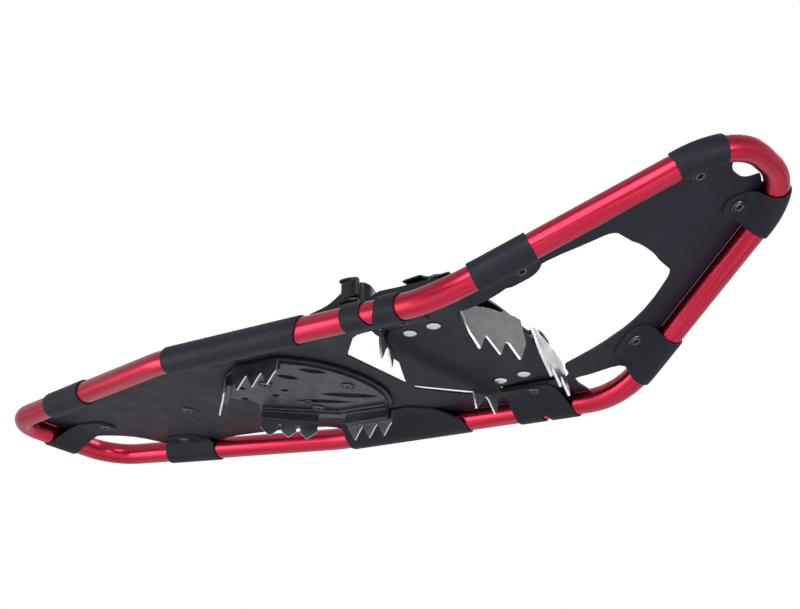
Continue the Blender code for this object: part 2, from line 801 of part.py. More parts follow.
def make_heel_plate():
    """Moulded plate under the deck: a slab with skirts behind the blades, ribs and slots."""
    low = HEEL_ROOT_Z + GAP
    half = [(0.0, -97.5), (16.0, -98.5), (32.0, -102.5), (46.0, -109.0), (58.0, -118.0), (66.0, -127.0)]
    half += [(72.0, -130.0), (72.0, -176.0), (66.0, -184.0), (58.5, -197.5)]
    half += [(25.0, -235.0), (14.0, -232.0), (7.0, -223.0), (0.0, -221.0)]
    plate = flat_prism("heel_plate", mirrored(half), low, HEEL_TOP)
    inside_x = HEEL_SIDE_X - 0.5 * BLADE_THICK - GAP
    wall = 3.2
    along = (Vector(CHEVRON_OUTER) - Vector(CHEVRON_INNER)).normalized()
    inward = Vector((-along.y, along.x))
    start = Vector(CHEVRON_INNER) + inward * (0.5 * BLADE_THICK + GAP)
    end = Vector(CHEVRON_OUTER) + inward * (0.5 * BLADE_THICK + GAP)
    corners = [start, end, end + inward * wall, start + inward * wall]
    skirts = []
    ribs = [[(-4.0, -216.0), (4.0, -216.0), (4.0, -132.0), (-4.0, -132.0)]]
    for side in (1, -1):
        box = [(inside_x - wall, -176), (inside_x, -176), (inside_x, -129), (inside_x - wall, -129)]
        skirts.append([(side * x, y) for x, y in box])
        skirts.append([(side * p.x, p.y) for p in corners])
        rib = [(24.0, -112.0), (30.0, -114.0), (58.0, -168.0), (52.0, -168.0)]
        ribs.append([(side * x, y) for x, y in rib])
        rib = [(8.0, -206.0), (12.0, -211.0), (48.0, -182.0), (44.0, -178.0)]
        ribs.append([(side * x, y) for x, y in rib])
    for kind, outlines, bottom in (("skirt", skirts, HEEL_SKIRT_LOW), ("rib", ribs, low - 3.0)):
        for index, outline in enumerate(outlines):
            bar = flat_prism(f"heel_{kind}_{index}", outline, bottom, HEEL_TOP - 1.0)
            cut(plate, as_cutter(bar), f"{kind}_{index}", "UNION")
    for index, (x, y) in enumerate(HEEL_SCREWS):
        spot = Matrix.Translation(Vector((x, y, low)) * MM)
        cut(plate, rivet_cutter(f"plate_cut_{index}", spot, 16.0, STAND), f"hole_{index}")
    for side in (1, -1):
        slot = [(14.0, -118.0), (19.0, -120.0), (40.0, -160.0), (34.0, -162.0)]
        slot = flat_prism(f"heel_slot_{side}", [(side * x, y) for x, y in slot], low - 8.0, HEEL_TOP + 3.0)
        cut(plate, as_cutter(slot), f"slot_{side}")
    adopt(plate, "heel_moulding")


def make_heel_screws():
    low = HEEL_ROOT_Z + GAP
    for index, (x, y) in enumerate(HEEL_SCREWS):
        strap_rivet(f"heel_screw_{index + 1}", x, y, low, DECK_TOP + GAP + 1.6)
        DECK_HOLES.append((x, y))
    strap_rivet("deck_rivet", 0.0, -301.0, DECK_LOW, DECK_TOP + GAP + 1.6)
    DECK_HOLES.append((0.0, -301.0))


# ---------------------------------------------------------------- binding, lower plates

LIP_Y = -14.0  # where the plate's rear lip starts to hang
LIP_RUN = 12.0
LIP_DROP = 7.5
LIP_SLOPE = 0.12
BAND_RIVETS = tuple(
    (side * STRAP_RIVET_X, y)
    for side in (1, -1)
    for y in (STRAP_RIVET_FRONT_Y, STRAP_RIVET_REAR_Y)
)


def make_pivot_plate():
    """Tough sheet under the crampon, with a V-shaped tail flap that hangs down."""
    half = [(0.0, 58.5), (48.0, 44.5)] + arc((57.0, 30.5), 13.0, 62.0, 0.0, 4)
    half += [(70.0, -20.0), (50.0, -26.0), (0.0, -54.0)]
    loops = [mirrored(half)] + [circle(spot, RIVET_HOLE) for spot in BAND_RIVETS]
    plate = filled_sheet("pivot_plate", loops, [LIP_Y - LIP_RUN * step / 4.0 for step in range(5)])
    middle = PLATE_LOW + 0.5 * PLATE_THICK

    def place(x, y):
        past = max(LIP_Y - y, 0.0)
        share = min(past / LIP_RUN, 1.0)
        drop = LIP_DROP * share * share * (3.0 - 2.0 * share) + LIP_SLOPE * max(past - LIP_RUN, 0.0)
        return (x, y, middle - drop)

    bend_sheet(plate, place)
    thicken(plate, PLATE_THICK, 0.0)
    adopt(plate, "deck_sheet", PIVOT)


CLAW_OUTLINE = (
    (8.7, 12.0),
    (16.0, 14.2),
    (24.0, 15.2),
    (26.5, 13.2),
    (44.0, 12.8),
    (47.0, 11.2),
    (58.0, 10.6),
    (61.0, 8.6),
    (70.4, 7.2),
    (64.3, -16.4),
    (57.7, -28.7),
    (48.9, -16.5),
    (38.4, -28.2),
    (31.0, -16.6),
    (26.0, -15.4),
    (19.1, -26.9),
    (9.4, -10.4),
)
TAB_OUTLINE = (
    (0.0, 5.0),
    (25.0, 5.0),
    (26.0, -8.0),
    (22.4, -20.0),
    (14.6, -9.6),
    (11.4, -8.6),
    (3.6, -19.6),
    (0.2, -8.0),
)


def make_toe_claw():
    """One steel pressing: a flange, two leaning toothed blades in front and two tabs behind."""
    half = [(0.0, 40.0), (6.0, 56.0), (9.0, 59.0), (66.0, 43.5), (66.0, -12.0), (74.6, -22.3)]
    half += [(50.6, -29.0), (45.0, -14.0), (0.0, -10.0)]
    claw = flat_prism("toe_claw", mirrored(half), CLAW_LOW, CLAW_LOW + CLAW_THICK)
    window = [(-30.0, 2.0), (30.0, 2.0), (24.0, 30.0), (-24.0, 30.0)]
    window = flat_prism("claw_window", window, CLAW_LOW - 5.0, CLAW_LOW + 5.0)
    cut(claw, as_cutter(window, PIVOT), "window")
    along = Vector((math.cos(CLAW_SWEEP), -math.sin(CLAW_SWEEP), 0.0))
    level = Vector((math.sin(CLAW_SWEEP), math.cos(CLAW_SWEEP), 0.0))
    face = level * math.cos(CLAW_LEAN) + Vector((0.0, 0.0, math.sin(CLAW_LEAN)))
    up = face.cross(along)
    if up.z < 0.0:
        up = -up
    tab_along = Vector((math.cos(TAB_SWEEP), math.sin(TAB_SWEEP), 0.0))
    apex = (0.0, CLAW_APEX_Y, 0.0)
    corner = (50.5, -29.0, 0.0)
    for side in (1, -1):
        blade = blade_from(f"claw_blade_{side}", list(CLAW_OUTLINE), apex, along, up, side, 2.0)
        cut(claw, as_cutter(blade, PIVOT), f"blade_{side}", "UNION")
        tab = blade_from(f"claw_tab_{side}", list(TAB_OUTLINE), corner, tab_along, (0, 0, 1), side, 1.8)
        cut(claw, as_cutter(tab, PIVOT), f"tab_{side}", "UNION")
    for index, (x, y) in enumerate(BAND_RIVETS):
        spot = Matrix.Translation(Vector((x, y, CLAW_LOW)) * MM)
        cut(claw, rivet_cutter(f"claw_cut_{index}", spot, 10.0, PIVOT), f"hole_{index}")
    adopt(claw, "claw_steel", PIVOT)


def make_pivot_band():
    """Middle of the springy band that carries the binding between the two frame tubes."""
    half = [(0.0, 31.0), (40.0, 29.0), (73.5, 25.0), (73.5, -10.0), (40.0, -13.0), (0.0, -14.0)]
    loops = [mirrored(half)] + [circle(spot, RIVET_HOLE) for spot in BAND_RIVETS]
    band = filled_sheet("pivot_band", loops)
    bend_sheet(band, lambda x, y: (x, y, BAND_LOW + 0.5 * BAND_THICK))
    thicken(band, BAND_THICK, 0.0)
    adopt(band, "wrap_sheet", PIVOT)


def make_band_rivets():
    low = PLATE_LOW
    high = BAND_LOW + BAND_THICK
    profile = [
        (0.0, high + 1.1),
        (3.2, high + 1.0),
        (4.0, high + GAP),
        (RIVET_SHANK, high + GAP),
        (RIVET_SHANK, low - GAP),
        (5.4, low - GAP),
        (5.2, low - 0.9),
        (4.0, low - 1.4),
        (1.2, low - 1.5),
        (0.0, low - 1.2),
    ]
    words = ("front_right", "rear_right", "front_left", "rear_left")
    for word, (x, y) in zip(words, BAND_RIVETS):
        rivet = turned(f"band_rivet_{word}", profile, RIVET_SEGMENTS, False)
        rivet.location = Vector((x, y, 0.0)) * MM
        adopt(rivet, "bright_rivet", PIVOT)


# ---------------------------------------------------------------- binding, harness

def make_footbed():
    half = [(0.0, 53.0), (24.0, 50.0)] + arc((38.0, 33.0), 12.0, 75.0, 0.0, 4)
    half += [(50.0, -22.0)] + arc((36.0, -30.0), 14.0, 0.0, -60.0, 3) + [(14.0, -59.0), (0.0, -61.0)]
    bed = flat_prism("footbed", mirrored(half), BED_LOW, BED_TOP)
    half = [(0.0, 49.0), (24.0, 46.0), (33.0, 38.0), (33.0, -30.0), (14.0, -54.0), (0.0, -56.0)]
    tread = flat_prism("footbed_tread", mirrored(half), BED_LOW + 1.0, TREAD_TOP)
    cut(bed, as_cutter(tread, PIVOT), "tread", "UNION")
    adopt(bed, "harness_shell", PIVOT)


WING_ROWS = (
    (-46.0, 39.0),
    (-36.0, 42.2),
    (-16.0, 40.2),
    (4.0, 38.6),
    (20.0, 36.8),
    (31.0, 33.5),
    (37.0, 23.0),
)


def make_wings():
    """Soft side walls that fold over the boot, standing on the footbed's edges."""
    base = BED_TOP + GAP
    for side, word in ((1, "right"), (-1, "left")):
        points = []
        for y, top in WING_ROWS:
            reach = 36.0 if y > -36.0 else 34.0
            section = [(reach, base), (51.5, base), (57.5, base + 2.6), (60.6, base + 7.0)]
            section += [(61.2, 0.5 * (base + 8.0 + top)), (60.6, top)]
            points.extend((side * x, y, z) for x, z in section)
        faces = []
        width = 6
        for row in range(len(WING_ROWS) - 1):
            for col in range(width - 1):
                a = row * width + col
                faces.append((a, a + 1, a + width + 1, a + width))
        wing = mesh_object(f"harness_wing_{word}", points, faces)
        if side > 0:
            wing.data.flip_normals()
        thicken(wing, WING_THICK, -1.0)
        adopt(smooth(wing, 60.0), "harness_shell", PIVOT)


def strap_along(name, path, across, width, thick, finish, parent, flip=False):
    """A flat strap that follows a path, its width square to the path along across."""
    across = Vector(across)
    points = []
    for point in path:
        middle = Vector(point)
        points.append(middle - across * (0.5 * width))
        points.append(middle + across * (0.5 * width))
    faces = [(2 * i, 2 * i + 1, 2 * i + 3, 2 * i + 2) for i in range(len(path) - 1)]
    strap = mesh_object(name, points, faces)
    if flip:
        strap.data.flip_normals()
    thicken(strap, thick, 0.0)
    return adopt(smooth(strap, 60.0), finish, parent)


TOE_ARCH = ((56.4, 21.0), (55.6, 27.0), (51.0, 32.5), (40.0, 37.5), (22.0, 41.0))
INSTEP_ARCH = ((56.4, 19.0), (55.8, 29.0), (50.0, 37.5), (38.0, 44.5), (20.0, 51.0))
TOE_STRAP_Y = 12.0
INSTEP_STRAP_Y = -16.0


def arch_path(arch, peak, y):
    right = [(x, y, z) for x, z in arch]
    left = [(-x, y, z) for x, z in reversed(arch)]
    return right + [(0.0, y, peak)] + left


def make_top_straps():
    toe = arch_path(TOE_ARCH, 42.4, TOE_STRAP_Y)
    strap_along("toe_strap", toe, (0, 1, 0), 18.0, STRAP_THICK, "strap_urethane", PIVOT)
    instep = arch_path(INSTEP_ARCH, 53.6, INSTEP_STRAP_Y)
    strap_along("instep_strap", instep, (0, 1, 0), 20.0, STRAP_THICK, "strap_urethane", PIVOT)


def make_heel_strap():
    """Heel strap, pulled tight round the back, its free end pointing to the tail on the right."""
    anchor = Vector((0.0, *HEEL_ANCHOR))
    path = [(-56.2, -28.0, 31.0), (-56.2, -40.0, 32.0), (-52.0, -51.0, 33.5), (-38.0, -57.5, 35.0)]
    path += [(-18.0, -60.5, 36.0), (8.0, -60.5, 37.5), (30.0, -57.0, 40.0), (46.0, -51.5, 43.5)]
    path += [(56.0, -50.0, 46.5), (60.4, -54.0, 47.5), (61.4, -60.0, 47.5), (61.4, -68.0, 45.5)]
    path += [(61.4, -77.0, 40.0), (61.4, -87.0, 35.6), (61.4, -104.0, 33.8)]
    local = [Vector(point) - anchor for point in path]
    strap_along("heel_strap", local, (0, 0, 1), 15.0, STRAP_THICK, "strap_urethane", HEEL_PIVOT)


# ---------------------------------------------------------------- buckles

BUCKLE_HALF = 12.0
BUCKLE_LENGTH = 20.0
HEEL_BUCKLE_SIZE = 0.8
BUCKLE_PIN = (-5.0, 6.4)  # along the strap, and above it
LEVER_PROFILE = (
    (-7.4, 4.4),
    (-7.4, 8.2),
    (-5.0, 9.0),
    (6.0, 8.6),
    (13.0, 9.8),
    (14.0, 8.4),
    (7.0, 6.4),
    (-2.6, 5.6),
    (-3.0, 4.2),
)


def buckle_matrix(spot, angle, roll=0.0):
    """Strap-wise X, width-wise Y, away from the strap Z, placed on the binding."""
    place = Matrix.Translation(Vector(spot) * MM)
    return place @ Matrix.Rotation(math.radians(roll), 4, "Z") @ Matrix.Rotation(math.radians(angle), 4, "Y")


def cylinder(name, radius, length, segments):
    shape = bmesh.new()
    bmesh.ops.create_cone(
        shape, cap_ends=True, segments=segments, radius1=radius * MM, radius2=radius * MM, depth=length * MM
    )
    bmesh.ops.rotate(shape, verts=shape.verts[:], matrix=Matrix.Rotation(math.radians(90.0), 3, "X"))
    return bmesh_object(name, shape)


def scaled(thing, size):
    thing.data.transform(Matrix.Scale(size, 4))
    return thing


def make_buckle(prefix, matrix, parent, size=1.0):
    """Ratchet buckle: a channel body, a hinge pin across it and a cam lever on the pin."""
    wall = 9.8
    channel = [(-12, 0.5), (12, 0.5), (12, 9.4), (wall, 9.4), (wall, 2.6)]
    channel += [(-wall, 2.6), (-wall, 9.4), (-12, 9.4)]
    half = 0.5 * BUCKLE_LENGTH
    points, faces = prism_points(channel, -half, half, lambda a, b, c: (c, a, b))
    body = scaled(mesh_object(f"{prefix}_buckle", points, faces), size)
    body.matrix_basis = matrix
    bevel(body, 0.6)
    adopt(body, "buckle_plastic", parent)
    hinge = matrix @ Matrix.Translation(Vector((BUCKLE_PIN[0], 0.0, BUCKLE_PIN[1])) * (size * MM))
    pin = scaled(cylinder(f"{prefix}_buckle_pin", 1.3, 2.0 * wall - 0.9, 10), size)
    pin.matrix_basis = hinge
    adopt(smooth(pin), "pin_steel", parent)
    profile = [(x - BUCKLE_PIN[0], z - BUCKLE_PIN[1]) for x, z in LEVER_PROFILE]
    points, faces = prism_points(profile, -8.9, 8.9, lambda a, b, c: (a, -c, b))
    lever = scaled(mesh_object(f"{prefix}_buckle_lever", points, faces), size)
    lever.matrix_basis = hinge
    bore = scaled(cylinder(f"{prefix}_bore", 1.7, 40.0, 12), size)
    bore.matrix_basis = hinge
    cut(lever, as_cutter(bore, parent), "bore")
    adopt(lever, "buckle_plastic", parent)


def make_buckles():
    make_buckle("toe", buckle_matrix((33.0, TOE_STRAP_Y, 40.2), 13.0), PIVOT)
    make_buckle("instep", buckle_matrix((30.0, INSTEP_STRAP_Y, 49.0), 22.0), PIVOT)
    anchor = Vector((0.0, *HEEL_ANCHOR))
    spot = Vector((62.6, -61.0, 47.6)) - anchor
    upright = Matrix.Translation(spot * MM) @ Matrix.Rotation(math.radians(90.0), 4, "Z")
    make_buckle("heel", upright @ Matrix.Rotation(math.radians(90.0), 4, "X"), HEEL_PIVOT, HEEL_BUCKLE_SIZE)


# ---------------------------------------------------------------- assembly

make_frame_tube()
make_frame_splice()
make_wrap("nose_wrap", 240.6, 214.7, 16.5, 33.0, rivet=(24.0, 228.5))
make_wrap("toe_wrap", 123.2, 87.3, 16.0, 32.0, (-5.0, -6.0), (23.5, 112.5))
make_wrap("pivot_strap", 27.3, 5.0, 24.0, 36.5, (3.3, 7.6), (30.5, 6.3))
make_wrap("deck_tab", -4.0, -26.0, 24.5, 36.5)
make_wrap("waist_wrap", -77.0, -207.0, 24.5, 36.5)
make_wrap("tail_side_wrap", -340.0, -396.0, 12.5, 28.0, rivet=(19.8, -370.0))
make_tail_wrap()
make_heel_screws()
make_deck()
make_heel_pad()
make_heel_plate()
make_heel_blades()
make_pivot_plate()
make_toe_claw()
make_pivot_band()
make_band_rivets()
make_footbed()
make_wings()
make_top_straps()
make_heel_strap()
make_buckles()
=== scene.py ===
"""Looks for the snowshoe: smooth tube, coated sheets, toothed steel and the boot harness.

Design sizes are in millimetres. The design frame is the part's own: X right, Y towards the nose,
Z up, origin on the centre line level with the tube's centre and abreast of the binding pivot.
"""
import math
import random
from bisect import bisect_right

import bmesh
import bpy
from mathutils import Matrix, Vector, noise


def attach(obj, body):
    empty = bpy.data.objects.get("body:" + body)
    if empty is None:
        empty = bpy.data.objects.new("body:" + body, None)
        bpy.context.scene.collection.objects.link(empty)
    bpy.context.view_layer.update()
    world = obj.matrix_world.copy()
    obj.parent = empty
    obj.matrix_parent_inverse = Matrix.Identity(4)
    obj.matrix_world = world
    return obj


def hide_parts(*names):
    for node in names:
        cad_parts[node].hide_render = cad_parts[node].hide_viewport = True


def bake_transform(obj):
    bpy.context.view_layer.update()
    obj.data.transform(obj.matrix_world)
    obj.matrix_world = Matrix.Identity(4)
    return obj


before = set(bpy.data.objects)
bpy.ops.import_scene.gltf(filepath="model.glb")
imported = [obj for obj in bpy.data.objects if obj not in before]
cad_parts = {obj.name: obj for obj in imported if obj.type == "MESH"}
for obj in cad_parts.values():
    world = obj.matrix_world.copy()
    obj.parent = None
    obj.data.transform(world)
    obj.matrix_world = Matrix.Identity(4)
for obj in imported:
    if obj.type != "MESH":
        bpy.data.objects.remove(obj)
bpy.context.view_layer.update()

MM = 0.001
RNG = random.Random(7)

STAND = Vector((0.0, 107.6, 18.6))
PIVOT_Z = 6.6
REST_PITCH = math.radians(5.0)
STAND_MATRIX = Matrix.Translation(STAND)
PIVOT_MATRIX = Matrix.Translation(STAND + Vector((0, 0, PIVOT_Z))) @ Matrix.Rotation(REST_PITCH, 4, "X")

TUBE_RADIUS = 9.525
TUBE_WALL = 1.25
NOSE_Y = 250.6
NOSE_BEND_Y = 65.8
NOSE_BEND_HALF = 30.0
NOSE_SLOPE = 0.60
TAIL_Y = -463.0
FRAME_CORNERS = (
    ((0, NOSE_Y), 0),
    ((41.2, NOSE_Y), 55),
    ((116.1, 70.9), 120),
    ((110.9, -219.2), 120),
    ((60, TAIL_Y), 36),
    ((0, TAIL_Y), 0),
)
DECK_LOW = 5.4
DECK_THICK = 1.8
DECK_TOP = DECK_LOW + DECK_THICK
WRAP_THICK = 1.3
WRAP_INNER = TUBE_RADIUS + 0.3
GAP = 0.3
SIDES = ((1, "right"), (-1, "left"))
SHEET_EDGE = 0.3
SOFT_ANGLE = 50.0
RIM_ANGLE = 55.0
STRAIGHT_HALF = math.radians(88.0)
TRIM_SHARE = 0.46


# ---- small tools

def clamp(value, low=0.0, high=1.0):
    return min(max(value, low), high)


def smooth(share):
    """A share from 0 to 1 that starts and ends gently."""
    return share * share * (3.0 - 2.0 * share)


def stretch_of(marks, value):
    """Index of the stretch between rising marks in which a value lies."""
    return clamp(bisect_right(marks, value + 1e-9), 1, len(marks) - 1) - 1


def arc(centre, radius, start, end, count):
    angles = [math.radians(start + (end - start) * step / count) for step in range(count + 1)]
    return [(centre[0] + radius * math.cos(t), centre[1] + radius * math.sin(t)) for t in angles]


def both_halves(right, left):
    """A closed outline from two halves, each with positive X, from the centre line and back."""
    return list(right) + [(-x, y) for x, y in reversed(left) if x > 1e-6]


def mirrored(half):
    return both_halves(half, half)


def corner_arc(here, back, ahead, trim, reach, steps):
    """An arc that joins a corner's two sides at the trimmed length; reach is its centre's distance."""
    centre = here + (back + ahead).normalized() * reach
    start = here + back * trim - centre
    sweep = start.angle_signed(here + ahead * trim - centre)
    return [centre + Matrix.Rotation(-sweep * k / steps, 2) @ start for k in range(steps + 1)]


def rounded(outline, radius, steps=5):
    """The outline with each corner turned on a radius, or on as much of it as fits."""
    out = []
    for i, corner in enumerate(outline):
        own = corner[2] if len(corner) > 2 else radius
        here = Vector(corner[:2])
        back = Vector(outline[i - 1][:2]) - here
        ahead = Vector(outline[(i + 1) % len(outline)][:2]) - here
        half = 0.5 * back.angle(ahead)
        if own <= 0.0 or half > STRAIGHT_HALF:
            out.append(tuple(here))
            continue
        trim = min(own / math.tan(half), TRIM_SHARE * back.length, TRIM_SHARE * ahead.length)
        reach = trim * math.tan(half) / math.sin(half)
        out.extend(map(tuple, corner_arc(here, back.normalized(), ahead.normalized(), trim, reach, steps)))
    return out


def chaikin(points, rounds=2):
    """Cuts the corners of an open line of vectors."""
    for _ in range(rounds):
        out = [points[0]]
        for a, b in zip(points, points[1:]):
            out.append(a.lerp(b, 0.25))
            out.append(a.lerp(b, 0.75))
        out.append(points[-1])
        points = out
    return points


def finish_mesh(name, shape, materials, matrix=STAND_MATRIX, angle=35.0):
    """A bmesh in design millimetres becomes an object in the row frame, in metres."""
    bmesh.ops.transform(shape, matrix=Matrix.Scale(MM, 4) @ matrix, verts=shape.verts[:])
    mesh = bpy.data.meshes.new(name)
    shape.to_mesh(mesh)
    shape.free()
    mesh.shade_smooth()
    mesh.set_sharp_from_angle(angle=math.radians(angle))
    thing = bpy.data.objects.new(name, mesh)
    bpy.context.scene.collection.objects.link(thing)
    for material in materials:
        mesh.materials.append(material)
    return thing


def settle(thing, body, slot, *nodes):
    """Puts a finished piece on its body and hides the CAD parts that it stands for. The slot is not used."""
    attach(thing, body)
    if nodes:
        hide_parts(*nodes)


def add_bevel(thing, width, segments=2, angle=40.0):
    edge = thing.modifiers.new("edges", "BEVEL")
    edge.width = width * MM
    edge.segments = segments
    edge.limit_method = "ANGLE"
    edge.angle_limit = math.radians(angle)
    edge.harden_normals = True


def add_thickness(thing, thickness, offset=0.0, rim=None):
    shell = thing.modifiers.new("thickness", "SOLIDIFY")
    shell.thickness = thickness * MM
    shell.offset = offset
    shell.use_even_offset = True
    if rim is not None:
        shell.material_offset_rim = rim


def fix_normals(shape):
    bmesh.ops.recalc_face_normals(shape, faces=shape.faces[:])


def finish_solid(name, shape, materials, matrix, edge, segments=2, angle=40.0):
    """A cut or moulded solid gets outward faces and softened edges."""
    fix_normals(shape)
    solid = finish_mesh(name, shape, materials, matrix)
    add_bevel(solid, edge, segments, angle)
    return solid


def signed_area(loop):
    return sum(loop[i - 1][0] * p[1] - p[0] * loop[i - 1][1] for i, p in enumerate(loop)) / 2.0


def level_place(a, b, c):
    return Vector((a, b, c))


def side_place(a, b, c):
    return Vector((a, c, b))


def prism(outline, low, high, place=level_place, shape=None, edge_material=0):
    """Adds an outline with thickness to a bmesh; its sides can take a second material."""
    shape = shape or bmesh.new()
    if signed_area(outline) < 0.0:
        outline = list(reversed(outline))
    bottom = [shape.verts.new(place(a, b, low)) for a, b in outline]
    top = [shape.verts.new(place(a, b, high)) for a, b in outline]
    shape.faces.new(list(reversed(bottom)))
    shape.faces.new(top)
    for i in range(len(outline)):
        j = (i + 1) % len(outline)
        shape.faces.new((bottom[i], bottom[j], top[j], top[i])).material_index = edge_material
    return shape


def mirror_place(place, side):
    def spot(a, b, c):
        point = Vector(place(a, b, c))
        return Vector((side * point.x, point.y, point.z))
    return spot


def distances(points):
    """Distance from the first point to each point of a line."""
    reached = [0.0]
    for a, b in zip(points, points[1:]):
        reached.append(reached[-1] + (Vector(b) - Vector(a)).length)
    return reached


def grid_surface(rows, closed=False):
    """Quads through rows of points, with UVs from the distances along and across."""
    shape = bmesh.new()
    layer = shape.loops.layers.uv.verify()
    verts = [[shape.verts.new(p) for p in row] for row in rows]
    down = distances([row[0] for row in rows])
    width = len(rows[0])
    across = distances(list(rows[0]) + ([rows[0][0]] if closed else []))
    for i in range(len(rows) - 1):
        for j in range(width if closed else width - 1):
            k = (j + 1) % width
            face = shape.faces.new((verts[i][j], verts[i][k], verts[i + 1][k], verts[i + 1][j]))
            for loop, (r, c) in zip(face.loops, ((i, j), (i, j + 1), (i + 1, j + 1), (i + 1, j))):
                loop[layer].uv = (across[c] * MM, down[r] * MM)
    return shape


def flat_sheet(loops, x_cuts=(), y_cuts=()):
    """A flat sheet in the XY plane, split along straight lines so that it can be bent."""
    shape = bmesh.new()
    if len(loops) == 1:
        shape.faces.new([shape.verts.new((x, y, 0.0)) for x, y in loops[0]])
    else:
        for loop in loops:
            ring = [shape.verts.new((x, y, 0.0)) for x, y in loop]
            for i, vert in enumerate(ring):
                shape.edges.new((ring[i - 1], vert))
        bmesh.ops.triangle_fill(shape, use_beauty=True, edges=shape.edges[:])
    for axis, cuts in ((0, x_cuts), (1, y_cuts)):
        for value in cuts:
            normal = Vector((1.0 - axis, axis, 0.0))
            everything = shape.verts[:] + shape.edges[:] + shape.faces[:]
            bmesh.ops.bisect_plane(shape, geom=everything, plane_co=normal * value, plane_no=normal)
    fix_normals(shape)
    if sum(face.normal.z for face in shape.faces) < 0.0:
        bmesh.ops.reverse_faces(shape, faces=shape.faces[:])
    layer = shape.loops.layers.uv.verify()
    for face in shape.faces:
        for loop in face.loops:
            loop[layer].uv = (loop.vert.co.x * MM, loop.vert.co.y * MM)
    return shape


def bend(shape, place):
    for vert in shape.verts:
        vert.co = Vector(place(vert.co.x, vert.co.y))


def finish_sheet(name, shape, material, thick, offset, matrix=STAND_MATRIX, edge=SHEET_EDGE):
    """A bent sheet gets its thickness, softened rims and a cut edge in a lighter finish of its own, which
    paints on the highlight that the edge catches.
    """
    sheet = finish_mesh(name, shape, [material, CUT_EDGE_HIGHLIGHT], matrix, SOFT_ANGLE)
    add_thickness(sheet, thick, offset, 1)
    add_bevel(sheet, edge, 2, RIM_ANGLE)
    return sheet


# ---- frame plane

def nose_profile(y):
    """Rise and slope of the bent frame plane at a place along the shoe."""
    start = NOSE_BEND_Y - NOSE_BEND_HALF
    share = (y - start) / (2.0 * NOSE_BEND_HALF)
    if share <= 0.0:
        return 0.0, 0.0
    if share >= 1.0:
        return NOSE_SLOPE * (y - NOSE_BEND_Y), NOSE_SLOPE
    return NOSE_SLOPE * NOSE_BEND_HALF * share * share, NOSE_SLOPE * share


def unrolled_table():
    """A row for each millimetre of y: length along the bent plane, y, z and the plane's angle."""
    rows = []
    length = NOSE_BEND_Y - NOSE_BEND_HALF
    y = length
    height = 0.0
    while y < NOSE_Y + 40.0:
        z, slope = nose_profile(y)
        if rows:
            length += math.hypot(1.0, z - height)
        rows.append((length, y, z, math.atan(slope)))
        height = z
        y += 1.0
    return rows


TABLE = unrolled_table()
TABLE_LENGTHS = [row[0] for row in TABLE]


def unroll(y):
    """Distance along the bent plane for a place along the shoe."""
    if y <= TABLE[0][1]:
        return y
    place = y - TABLE[0][1]
    row = min(int(place), len(TABLE) - 2)
    share = place - row
    return TABLE_LENGTHS[row] * (1.0 - share) + TABLE_LENGTHS[row + 1] * share


def on_plane(x, length, height=0.0):
    """The place in space of a point on the unrolled plane, or at a height above it."""
    if length <= TABLE_LENGTHS[0]:
        return Vector((x, length, height))
    index = stretch_of(TABLE_LENGTHS, length)
    first = TABLE[index]
    second = TABLE[index + 1]
    share = (length - first[0]) / (second[0] - first[0])
    y, z, angle = (first[i] * (1.0 - share) + second[i] * share for i in (1, 2, 3))
    return Vector((x, y - height * math.sin(angle), z + height * math.cos(angle)))


def turned_path(corners, step=3.0):
    """An open path whose corners are turned on their own radii, in steps of a few degrees."""
    path = [Vector(corners[0][0])]
    for (before, _), (corner, radius), (after, _) in zip(corners, corners[1:], corners[2:]):
        here = Vector(corner)
        back = (Vector(before) - here).normalized()
        ahead = (Vector(after) - here).normalized()
        half = 0.5 * back.angle(ahead)
        steps = max(2, round(math.degrees(math.pi - 2.0 * half) / step))
        path += corner_arc(here, back, ahead, radius / math.tan(half), radius / math.sin(half), steps)
    return path + [Vector(corners[-1][0])]


BEND_LINES = tuple(NOSE_BEND_Y - NOSE_BEND_HALF + 2.0 * NOSE_BEND_HALF * i / 15.0 for i in range(16))


def split_bend(path):
    out = [path[0]]
    for first, second in zip(path, path[1:]):
        low, high = sorted((first.y, second.y))
        for line in reversed(BEND_LINES):
            if low + 0.4 < line < high - 0.4:
                out.append(first.lerp(second, (first.y - line) / (first.y - second.y)))
        out.append(second)
    return out


RAIL = [Vector((p.x, unroll(p.y))) for p in split_bend(turned_path(FRAME_CORNERS))]
RAIL_AT = distances(RAIL)
RAIL_NORMALS = [Vector(((b - a).normalized().y, -(b - a).normalized().x)) for a, b in zip(RAIL, RAIL[1:])]


def rail_point(distance):
    """Centre-line point and inward direction at a distance from the nose."""
    distance = clamp(distance, 0.0, RAIL_AT[-1])
    index = stretch_of(RAIL_AT, distance)
    length = RAIL_AT[index + 1] - RAIL_AT[index]
    share = (distance - RAIL_AT[index]) / length
    here = RAIL_NORMALS[index]
    reach = min(0.5, 3.0 / length)
    if share > 1.0 - reach:
        near = RAIL_NORMALS[min(index + 1, len(RAIL_NORMALS) - 1)]
        weight = 0.5 * (share - 1.0 + reach) / reach
    else:
        near = RAIL_NORMALS[max(index - 1, 0)]
        weight = 0.5 * max(reach - share, 0.0) / reach
    return RAIL[index].lerp(RAIL[index + 1], share), here.lerp(near, weight).normalized()


def rail_distance(y):
    target = unroll(y)
    for i in range(len(RAIL) - 1):
        if RAIL[i].y >= target > RAIL[i + 1].y:
            share = (RAIL[i].y - target) / (RAIL[i].y - RAIL[i + 1].y)
            return RAIL_AT[i] + share * (RAIL_AT[i + 1] - RAIL_AT[i])
    return RAIL_AT[-1]


def rail_offset(distance, inward):
    point, normal = rail_point(distance)
    return point + normal * inward


def rail_edge(first_y, last_y, inward):
    start = rail_distance(first_y)
    end = rail_distance(last_y)
    inner = [d for d in RAIL_AT if start + 2.0 < d < end - 2.0]
    return [tuple(rail_offset(d, inward)) for d in [start, *inner, end]]


